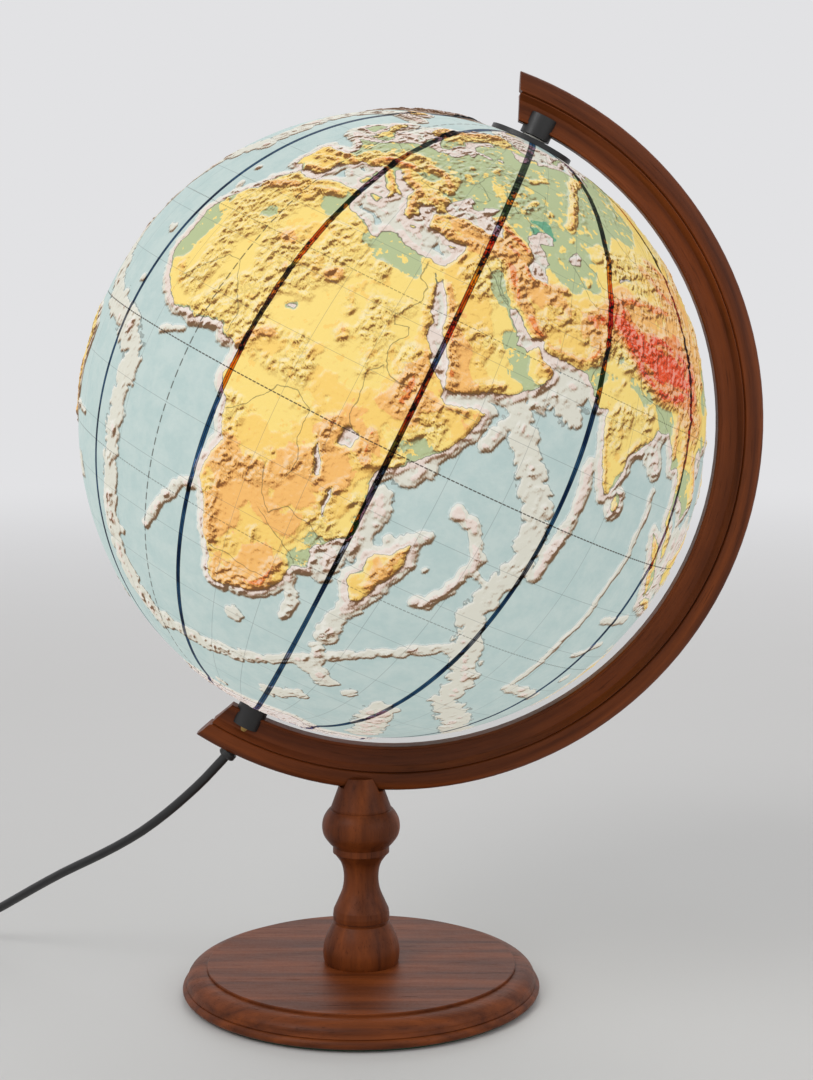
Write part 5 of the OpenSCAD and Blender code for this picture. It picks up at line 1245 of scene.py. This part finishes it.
@dataclass
class Studio:
    """The camera, the floor and the soft lamps."""

    eye: Point = (0.0271, -1.0654, 0.3697)
    pitch: float = 6.85
    azimuth: float = -0.165
    lens: float = 68.8
    sensor: float = 36.0
    floor_half: float = 6.0
    world_light: float = 0.72
    run_out_from: float = 0.7
    run_out_to: float = 3.0

    def build(self) -> None:
        """Make the camera, the floor, the lamps and the world."""
        data = bpy.data.cameras.new("camera")
        data.lens = self.lens
        data.sensor_width = self.sensor
        camera = placed("camera", data)
        camera.location = self.eye
        camera.rotation_euler = (math.radians(90 - self.pitch), 0.0, -math.radians(self.azimuth))
        bpy.context.scene.camera = camera
        h = self.floor_half
        corners = [(-h, -h, 0), (h, -h, 0), (h, h, 0), (-h, h, 0)]
        floor = mesh_piece("floor", corners, [(0, 1, 2, 3)], self.floor_paint())
        self.lamp("key", (-1.3, -1.3, 1.9), 1.2, 20.0)
        self.lamp("fill", (1.6, -1.2, 1.2), 1.8, 8.0)
        self.lamp("back", (0.3, 1.8, 1.9), 1.6, 10.0)
        self.backdrop()
        bpy.context.scene.view_settings.view_transform = "Standard"

    def backdrop(self) -> None:
        """Show a pale backdrop to the eye, in gloss and through glass, and keep its light soft."""
        world = bpy.data.worlds.new("world")
        world.use_nodes = True
        net, nodes = Net(world.node_tree), world.node_tree.nodes
        plain = nodes["Background"]
        net.fill(plain, {"Color": linear(232, 232, 234), "Strength": self.world_light})
        pale = net.add("ShaderNodeBackground", {"Color": BACKDROP, "Strength": 1.0})
        mixer = net.add("ShaderNodeMixShader", {0: net.seen(), 1: plain.outputs[0], 2: pale.outputs[0]})
        net.put(nodes["World Output"].inputs[0], mixer.outputs[0])
        bpy.context.scene.world = world

    def lamp(self, name: str, where: Point, size: float, power: float) -> None:
        """Add a square lamp that looks at the ball.

        Args:
            name: Its name.
            where: Its place.
            size: Its side, in metres.
            power: Its power, in watts.
        """
        data = bpy.data.lights.new(name, "AREA")
        data.size = size
        data.energy = power
        lamp = placed(name, data)
        lamp.location = where
        aim = np.array(CENTRE) - np.array(where)
        lamp.rotation_euler = (math.acos(-aim[2] / np.linalg.norm(aim)), 0.0, math.atan2(-aim[0], aim[1]))

    def floor_paint(self) -> Material:
        """Paint a plain pale floor that runs out into the backdrop far from the globe.

        Returns:
            The material.
        """
        net, material, shader = Net.material("pale floor")
        rough = net.step(net.noise(net.place(), 3.0), -2.0, 2.2)
        net.fill(shader, {"Base Color": linear(205, 204, 202), "Roughness": rough})
        away = {0: net.vector("LENGTH", net.place()), 1: self.run_out_from, 2: self.run_out_to}
        run_out = net.add("ShaderNodeMapRange", away, interpolation_type="SMOOTHSTEP").outputs[0]
        pale = net.add("ShaderNodeEmission", {"Color": BACKDROP, "Strength": 1.0})
        share = net.math("MULTIPLY", run_out, net.seen())
        mixer = net.add("ShaderNodeMixShader", {0: share, 1: shader.outputs[0], 2: pale.outputs[0]})
        output = next(node for node in net.tree.nodes if node.type == "OUTPUT_MATERIAL")
        net.put(output.inputs[0], mixer.outputs[0])
        return material


@dataclass
class Cords:
    """The mains cord in its two lengths, on the routes of the solids they replace."""

    diameter: float = 0.005
    switch_x: float = -0.286
    switch_y: float = 0.008
    switch_l: float = 0.060
    entry_z: float = 0.0075
    coil_in_r: float = 0.0206
    coil_step: float = 0.0055
    turns_in: float = 3.5
    turns_out: float = 3.0
    coil_z: float = 0.0031
    coil_away: float = 0.040
    plug_away: float = 0.034
    plug_run: float = 0.022
    stub: float = 0.003
    lead_in: float = 0.0015
    dip: float = 0.00065
    exit: Point = (-0.0713052, 0.0, 0.126994)
    out: Point = (-0.642788, 0.0, -0.766044)
    lead_knots: str = """-82 2 115 -92 5 105 -104 9 94 -118 15 82.5 -133 23 72 -149 32 62
        -166 43 51.5 -185 56 38.5 -204 69 25 -220 80 14.5 -234 87 7.5 -248 91 3.6 -261 92 2.6
        -274 88 2.6 -283 79 2.8 -286 67 3.8 -286 55 5.8"""

    def lead_route(self) -> list[Point]:
        """Lay the route from the bow to the switch, smooth through its knots.

        Returns:
            Its points.
        """
        knots = [float(word) / 1000 for word in self.lead_knots.split()]
        end = (self.switch_x, self.switch_y + self.switch_l / 2, self.entry_z)
        before = (end[0], end[1] + self.diameter + self.lead_in, end[2])
        line = np.array([self.exit, *zip(knots[::3], knots[1::3], knots[2::3]), before])
        out = []
        last = len(line) - 1
        for i in range(last):
            a, b, c, d = line[max(i - 1, 0)], line[i], line[i + 1], line[min(i + 2, last)]
            square, cube = 2 * a - 5 * b + 4 * c - d, 3 * b - a - 3 * c + d
            out += [0.5 * (2 * b + (c - a) * t + square * t**2 + cube * t**3) for t in (0.0, 0.5)]
        out.insert(1, np.array(self.exit) + self.stub * np.array(self.out))
        return [tuple(map(float, p)) for p in (*out, line[-1], (end[0], end[1] + self.diameter, end[2]), end)]

    def coil_route(self) -> list[Point]:
        """Lay the route from the switch through the coil to the plug.

        Returns:
            Its points.
        """
        out_r = self.coil_in_r + self.coil_step * self.turns_in
        start_y = self.switch_y - self.switch_l / 2
        cx, cy = self.switch_x + out_r, start_y - self.coil_away
        plug_x, plug_y = cx - self.coil_in_r - self.coil_step * self.turns_out, cy - self.plug_away
        top, bend_y = self.coil_z + self.coil_step, cy - self.plug_run

        def level(a: float, b: float, t: float) -> float:
            """A height between two."""
            return a + (b - a) * t

        route = [(self.switch_x, start_y, self.entry_z)]
        for t in (0.0, 0.2, 0.4, 0.6, 0.8):
            y = level(start_y - self.diameter, cy, t)
            route.append((self.switch_x, y, level(self.entry_z, self.coil_z, ease(t))))
        turned, back = 360 * self.turns_in, 360 * self.turns_in + 180
        whole = round(360 * (self.turns_in + 0.5 + self.turns_out))
        for a in range(0, whole + 1, 15):
            climb = min(max((a - turned) / 180, 0), 1)
            if a < turned:
                r = out_r - self.coil_step * a / 360
            elif a < back:
                r = self.coil_in_r - self.dip * math.sin(math.pi * climb)
            else:
                r = self.coil_in_r + self.coil_step * (a - back) / 360
            x, y = cx - r * math.cos(math.radians(a)), cy - r * math.sin(math.radians(a))
            route.append((x, y, self.coil_z + self.coil_step * climb))
        route += [(plug_x, cy - self.plug_run / 2, top), (plug_x, bend_y, top)]
        for t in (0.25, 0.5, 0.75, 1.0):
            y = level(bend_y, plug_y + self.diameter, t)
            route.append((plug_x, y, level(top, self.entry_z, ease(t))))
        return [*route, (plug_x, plug_y, self.entry_z)]

    def build(self, sheath: Material) -> None:
        """Args:
            sheath: Their material.
        """
        for name, node, route, extra in (
            ("lead_cord", "cord_lead", self.lead_route(), ["switch_base", "switch_cover"]),
            ("coiled_cord", "cord_coil", self.coil_route(), ["plug_body", "plug_pins", "cord_tie"]),
        ):
            data = bpy.data.curves.new(name, "CURVE")
            data.dimensions = "3D"
            data.bevel_depth = self.diameter / 2
            data.bevel_resolution = 4
            data.use_fill_caps = True
            spline = data.splines.new("POLY")
            spline.points.add(len(route) - 1)
            for point, place in zip(spline.points, route):
                point.co = (*place, 1.0)
            spline.use_smooth = True
            data.materials.append(sheath)
            piece = placed(name, data)
            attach(piece, "stand")
            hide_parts(node)


@dataclass
class Ball:
    """The twelve printed gores of the ball, embossed with the relief."""

    across: int = 108
    down: int = 600
    inner_across: int = 6
    sheet: float = 0.0006
    north_hole: float = 0.0064
    south_hole: float = 0.0084
    hair: float = 0.00002
    highest: float = 1.9
    terrace: float = 0.14
    coast_sway: float = 1.9
    floor_sway: float = 0.42

    def build(self, earth: EarthMap, paper: Material) -> None:
        """Make every gore.

        Args:
            earth: The fields of the map.
            paper: The printed material.
        """
        self.soft, self.bent, self.crest = Lattice(11), Lattice(23), Lattice(37)
        emboss = self.emboss_tree()
        for k in range(1, 13):
            piece = self.gore(k, earth, paper)
            grow(piece, emboss, {"Material": paper})
            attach(piece, "globe")
            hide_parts(f"gore_{k:02d}")

    def emboss_tree(self) -> Tree:
        """Lift each point by its relief, away from the ball's centre.

        Returns:
            The Geometry Nodes tree.
        """
        net, start, end = Net.group(
            GEOMETRY_TREE,
            "emboss gore",
            {"Geometry": ("Geometry", None), "Lift": ("Float", 1.0), "Material": ("Material", None)},
            {"Geometry": "Geometry"},
        )
        away = net.vector("SUBTRACT", net.add("GeometryNodeInputPosition").outputs[0], CENTRE)
        relief = net.add("GeometryNodeInputNamedAttribute", {"Name": "relief"}, data_type="FLOAT").outputs[0]
        amount = net.math("MULTIPLY", relief, start.outputs["Lift"])
        inputs = {0: net.vector("NORMALIZE", away), "Scale": amount}
        lift = net.add("ShaderNodeVectorMath", inputs, operation="SCALE").outputs[0]
        moved = net.add("GeometryNodeSetPosition", {"Geometry": start.outputs[0], "Offset": lift}).outputs[0]
        net.dress(moved, start.outputs["Material"], end)
        return net.tree

    def gore(self, k: int, earth: EarthMap, paper: Material) -> Piece:
        """Make one gore as a closed sheet with its fields stored on its points.

        Args:
            k: The gore's number, from 1.
            earth: The fields of the map.
            paper: The printed material.

        Returns:
            The gore, still smooth.
        """
        west = FIRST_GORE_EDGE + GORE_DEGREES * (k - 1)
        top = 90 - math.degrees(math.asin(self.north_hole / BALL_R))
        bottom = -90 + math.degrees(math.asin(self.south_hole / BALL_R))
        lat = np.linspace(top, bottom, self.down + 1)
        inset = np.degrees(self.hair / (BALL_R * np.cos(np.radians(lat))))
        grids = []
        for columns, radius in ((self.across, BALL_R), (self.inner_across, BALL_R - self.sheet)):
            share = np.linspace(0, 1, columns + 1)
            lon = west + inset[:, None] + share[None, :] * (GORE_DEGREES - 2 * inset[:, None])
            grids.append((lon, np.repeat(lat[:, None], columns + 1, axis=1), np.full(lon.shape, radius)))
        lons, lats, radii = (np.concatenate([part.ravel() for part in parts]) for parts in zip(*grids))
        points = self.in_frame(lons, lats, radii)
        piece = mesh_piece(f"printed_gore_{k:02d}", points.tolist(), self.faces(), paper, smooth=True)
        outer = radii > BALL_R - self.sheet / 2
        for name, values in self.fields(earth, lons, lats, outer, west).items():
            layer = piece.data.attributes.new(name, "FLOAT", "POINT")
            layer.data.foreach_set("value", values.astype(np.float32))
        return piece

    def in_frame(self, lon: Array, lat: Array, radius: Array) -> Array:
        """Find the places of longitudes and latitudes in the shared frame.

        Args:
            lon: Longitudes.
            lat: Latitudes.
            radius: Distances from the ball's centre.

        Returns:
            One point for each.
        """
        turn, rise = np.radians(lon - FRONT_MERIDIAN), np.radians(lat)
        side = np.array([math.cos(TILT), 0.0, -math.sin(TILT)])
        away = (
            (np.cos(rise) * np.cos(turn))[:, None] * side
            + (np.cos(rise) * np.sin(turn))[:, None] * np.array([0.0, 1.0, 0.0])
            + np.sin(rise)[:, None] * np.array(POLE)
        )
        return np.array(CENTRE) + radius[:, None] * away

    def faces(self) -> list[list[int]]:
        """Join the outer sheet, the inner one, both long edges and both ends, all facing outwards.

        Returns:
            Lists of point numbers.
        """
        n, m, rows = self.across, self.inner_across, self.down
        inner = (rows + 1) * (n + 1)

        def out(r: int, c: int) -> int:
            """An outer point."""
            return r * (n + 1) + c

        def back(r: int, c: int) -> int:
            """An inner point."""
            return inner + r * (m + 1) + c

        faces = []
        for r in range(rows):
            faces += [[out(r, c), out(r + 1, c), out(r + 1, c + 1), out(r, c + 1)] for c in range(n)]
            faces += [[back(r, c), back(r, c + 1), back(r + 1, c + 1), back(r + 1, c)] for c in range(m)]
            faces.append([out(r + 1, 0), out(r, 0), back(r, 0), back(r + 1, 0)])
            faces.append([out(r, n), out(r + 1, n), back(r + 1, m), back(r, m)])
        faces.append([out(0, c) for c in range(n + 1)] + [back(0, c) for c in range(m, -1, -1)])
        faces.append([out(rows, c) for c in range(n, -1, -1)] + [back(rows, c) for c in range(m + 1)])
        return faces

    def fields(self, earth: EarthMap, lon: Array, lat: Array, outer: Array, west: float) -> dict[str, Array]:
        """Every number that the print and the relief need at each point.

        Args:
            earth: The fields of the map.
            lon: Longitudes.
            lat: Latitudes.
            outer: Which points are on the outer sheet.
            west: The gore's western edge.

        Returns:
            The numbers by name.
        """
        ball = sphere(lon, lat)
        other = ball[:, ::-1]
        narrow = np.maximum(np.cos(np.radians(lat)), 0.05)
        sway = self.bent.layered(ball, 16, 4) - 0.5
        lift = self.bent.layered(other, 16, 4) - 0.5
        x, y = lon + self.coast_sway * sway / narrow, np.clip(lat + self.coast_sway * lift, -89.9, 89.9)
        coast = earth.read(earth.coast, x, y)
        swollen = self.bent.layered(other, 24, 3, Form.LUMPS) - 0.5
        sea = earth.read(earth.sea, x, y) + self.floor_sway * swollen
        base, chain = earth.read(earth.height, x, y), earth.read(earth.chain, x, y)
        calm = blend_in(self.soft.layered(ball, 9, 2), 0.38, 0.56)
        height, rough = self.ground(ball, coast, calm, base, chain)
        floor_rough = blend_in(sea, 0.60, 0.9) * (0.55 - 0.4 * calm)
        relief = self.raised(ball, coast, height, sea, rough, floor_rough)
        relief = np.minimum(relief, self.highest) * blend_in(90 - lat, 10, 14) * blend_in(lat + 90, 6, 9)
        edge = np.minimum(lon - west, west + GORE_DEGREES - lon)
        return {
            "coast": coast,
            "height": height,
            "sea": sea,
            "rough": np.where(coast > 0, rough, 0.6 * floor_rough),
            "shade": self.shade(relief, lat),
            "ice": earth.read(earth.ice, x, y),
            "longitude": lon if west < 190 else lon - 360,
            "latitude": lat,
            "seam": edge * narrow * BALL_R * 1000 * math.pi / 180,
            "river": np.where(coast > 0.1, river_gap(x, y), NO_RIVER),
            "relief": np.where(outer, relief / 1000, 0.0),
        }

    def ground(
        self, ball: Array, coast: Array, calm: Array, base: Array, chain: Array
    ) -> tuple[Array, Array]:
        """Break up the smooth heights of the land.

        Args:
            ball: Points of the unit sphere.
            coast: Distances from the coast, in degrees.
            calm: 1 where the ground is smooth.
            base: Smooth heights, in kilometres.
            chain: Heights of the mountain chains, in kilometres.

        Returns:
            Heights in kilometres, and how rough the ground is.
        """
        crest = self.crest.layered(ball, 24, 4, Form.CRESTS)
        ragged = self.bent.layered(ball[:, ::-1], 64, 3)
        swell = self.soft.layered(ball, 18, 4)
        height = np.maximum(base * (0.62 + 0.76 * swell), chain * (0.42 + 0.8 * crest))
        height = np.where(base < 0.005, base, height * (0.84 + 0.32 * ragged))
        height *= blend_in(coast, -0.15, 0.5) * 0.8 + 0.2
        rough = 0.62 - 0.58 * calm + 0.85 * chain / (chain + 1.2) + 0.10 * base
        return height, np.clip(rough, 0, 1) * (0.25 + 0.75 * blend_in(height, 0.05, 0.25))

    def raised(
        self, ball: Array, coast: Array, height: Array, sea: Array, rough: Array, floor_rough: Array
    ) -> Array:
        """Lift the land by its tints and hills, and the sea floor by its rises and banks.

        Args:
            ball: Points of the unit sphere.
            coast: Distances from the coast, in degrees.
            height: Heights of the land, in kilometres.
            sea: How high the sea floor is, from 0 to 1.
            rough: How rough the ground is.
            floor_rough: How rough the sea floor is.

        Returns:
            The lift of the print, in millimetres.
        """
        spurs = blend_in(self.crest.layered(ball, 30, 3, Form.CRESTS), 0.5, 0.74)
        lumps = blend_in(self.soft.layered(ball[:, ::-1], 27, 3, Form.LUMPS), 0.14, 0.46)
        steps = sum(blend_in(height, 0.97 * level, 1.03 * level) for level in TINT_STEPS)
        dry = 0.30 + self.terrace * steps + rough * (0.5 * spurs + 0.5 * lumps)
        banks = 0.20 * blend_in(sea, 0.46, 0.54) + 0.10 * blend_in(sea, 0.82, 0.88)
        wet = banks + floor_rough * (0.5 * spurs + 0.4 * lumps)
        land = blend_in(coast, -0.12, 0.12)
        return land * dry + (1 - land) * wet

    def shade(self, relief: Array, lat: Array) -> Array:
        """Work out how much each point of the outer sheet faces a light in the north-west.

        Args:
            relief: Heights of the print, in millimetres.
            lat: Latitudes.

        Returns:
            Shares from -1 to 1, and 0 for the inner sheet.
        """
        shape = (self.down + 1, self.across + 1)
        count = shape[0] * shape[1]
        tall = np.radians(180 / self.down) * BALL_R * 1000
        narrow = np.cos(np.radians(lat[:count].reshape(shape)))
        wide = np.radians(GORE_DEGREES / self.across) * BALL_R * 1000 * narrow
        south, east = np.gradient(relief[:count].reshape(shape))
        slope = np.clip((0.75 * east / np.maximum(wide, 0.1) + 0.65 * south / tall) * 3.4, -1, 1)
        return np.concatenate([slope.ravel(), np.zeros(len(relief) - count)])


def river_gap(lon: Array, lat: Array) -> Array:
    """Measure how far each place is from the nearest river.

    Args:
        lon: Longitudes.
        lat: Latitudes.

    Returns:
        Signed distances in degrees.
    """
    east = (lon + 180) % 360 - 180
    best = np.full(len(east), NO_RIVER)
    scale = np.cos(np.radians(lat))
    for line in RIVERS.split(";"):
        course = dense(pairs(line), 2.5)
        low, high = course.min(0) - 1.5, course.max(0) + 1.5
        near = np.nonzero((east > low[0]) & (east < high[0]) & (lat > low[1]) & (lat < high[1]))[0]
        if not len(near):
            continue
        for a, b in zip(course, course[1:]):
            ex, ey = (b[0] - a[0]) * scale[near], b[1] - a[1]
            px, py = (east[near] - a[0]) * scale[near], lat[near] - a[1]
            along = np.clip((px * ex + py * ey) / (ex**2 + ey**2), 0, 1)
            off = np.hypot(px - along * ex, py - along * ey)
            side = np.where(px * ey - py * ex >= 0, 1.0, -1.0)
            closer = off < np.abs(best[near])
            best[near[closer]] = (off * side)[closer]
    return best


@dataclass
class Fittings:
    """The ribs of the plug's sleeve."""

    first: Point = (-0.28325, -0.098, 0.0075)
    step: Point = (0.0, -0.0019, 0.0)
    count: int = 5
    first_radius: float = 0.00365
    last_radius: float = 0.00465
    rib: float = 0.00055

    def ribs_tree(self) -> Tree:
        """Lay rings along a line, from one radius to another.

        Returns:
            The Geometry Nodes tree.
        """
        net, start, end = Net.group(
            GEOMETRY_TREE,
            "ribs along a line",
            {
                "Start": ("Vector", (0.0, 0.0, 0.0)),
                "Step": ("Vector", (0.0, 0.0, 0.0)),
                "Count": ("Int", 5),
                "First radius": ("Float", 0.004),
                "Last radius": ("Float", 0.005),
                "Rib": ("Float", 0.0005),
                "Material": ("Material", None),
            },
            {"Geometry": "Geometry"},
        )
        get = start.outputs
        row = {"Count": get["Count"], "Start Location": get["Start"], "Offset": get["Step"]}
        line = net.add("GeometryNodeMeshLine", row).outputs[0]
        ring = net.add("GeometryNodeCurvePrimitiveCircle", {"Resolution": 40, "Radius": 1.0}).outputs[0]
        index = net.add("GeometryNodeInputIndex").outputs[0]
        share = net.math("DIVIDE", index, net.math("SUBTRACT", get["Count"], 1.0))
        growth = net.math("SUBTRACT", get["Last radius"], get["First radius"])
        radius = net.math("ADD", get["First radius"], net.math("MULTIPLY", share, growth))
        upright = (math.pi / 2, 0.0, 0.0)
        rings = {"Points": line, "Instance": ring, "Rotation": upright, "Scale": radius}
        curves = net.add("GeometryNodeInstanceOnPoints", rings).outputs[0]
        curves = net.add("GeometryNodeRealizeInstances", {0: curves}).outputs[0]
        profile = net.add("GeometryNodeCurvePrimitiveCircle", {"Resolution": 10, "Radius": get["Rib"]})
        solid = net.add("GeometryNodeCurveToMesh", {"Curve": curves, "Profile Curve": profile.outputs[0]})
        net.dress(solid.outputs[0], get["Material"], end)
        return net.tree

    def build(self, rubber: Material) -> None:
        """Make the ribs of the plug's sleeve.

        Args:
            rubber: Their material.
        """
        piece = mesh_piece("plug_sleeve_ribs", [(0, 0, 0)], [], rubber)
        values = {
            "Start": self.first,
            "Step": self.step,
            "Count": self.count,
            "First radius": self.first_radius,
            "Last radius": self.last_radius,
            "Rib": self.rib,
            "Material": rubber,
        }
        grow(piece, self.ribs_tree(), values)
        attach(piece, "stand")


@dataclass
class Dresser:
    """Gives every node of the solids its finish."""

    effects: Effects

    def build(self) -> dict[str, Material]:
        """Assign all finishes.

        Returns:
            The materials by the record's slot names.
        """
        finishes = {
            "baize": Finish("green baize", (46, 74, 56), 0.95, relief=0.6, sheen=0.6, mottle=0.5),
            "steel": Finish("zinc plated steel", (186, 188, 190), 0.34, metallic=1.0),
            "brass": Finish("turned brass", (150, 120, 70), 0.3, metallic=1.0),
            "nickel": Finish("bright nickel", (206, 202, 194), 0.16, metallic=1.0),
            "black_plastic": Finish("black moulding", (30, 29, 29), 0.42, relief=0.12),
            "black_gloss": Finish("black gloss moulding", (28, 28, 30), 0.2, coat=0.3),
            "nylon": Finish("white nylon", (224, 222, 212), 0.45),
            "shell_plastic": Finish("opal shell", (234, 228, 212), 0.4, glow=0.25),
            "ceramic_core": Finish("glazed ceramic", (230, 222, 202), 0.22, coat=0.5),
            "bulb_glass": Finish("frosted glass", (255, 246, 226), 0.35, clear=0.6, glow=1.2),
            "filament": Finish("tungsten", (150, 140, 130), 0.4, metallic=1.0, glow=3.0),
            "cord_sheath": Finish("black cord sheath", (26, 26, 27), 0.42, relief=0.15),
            "cord_tie": Finish("ribbed strap", (44, 44, 46), 0.5, relief=0.3),
        }
        made = {slot: finish.make(self.effects) for slot, finish in finishes.items()}
        woods = {
            "base": Wood("base wood", Grain.ACROSS),
            "post": Wood("post wood", Grain.UPRIGHT),
            "bow": Wood("bow wood", Grain.ROUND),
        }
        slots = {entry["node"]: entry["material_slot"] for entry in frame["record"]["subparts"]}
        for name, node in frame["nodes"].items():
            material = woods[name].make(self.effects) if name in woods else made.get(slots[name])
            if material:
                node.data.materials.clear()
                node.data.materials.append(material)
        log.info("dressed %d nodes", len(frame["nodes"]))
        return made


def main() -> None:
    """Build every sub-assembly in order."""
    logging.basicConfig(level=logging.INFO, format="%(name)s: %(message)s")
    Studio().build()
    effects = Effects()
    made = Dresser(effects).build()
    Cords().build(made["cord_sheath"])
    Fittings().build(made["black_plastic"])
    earth = EarthMap()
    log.info("map fields ready")
    Ball().build(earth, MapPrint().make())


if __name__ == "__main__":
    main()
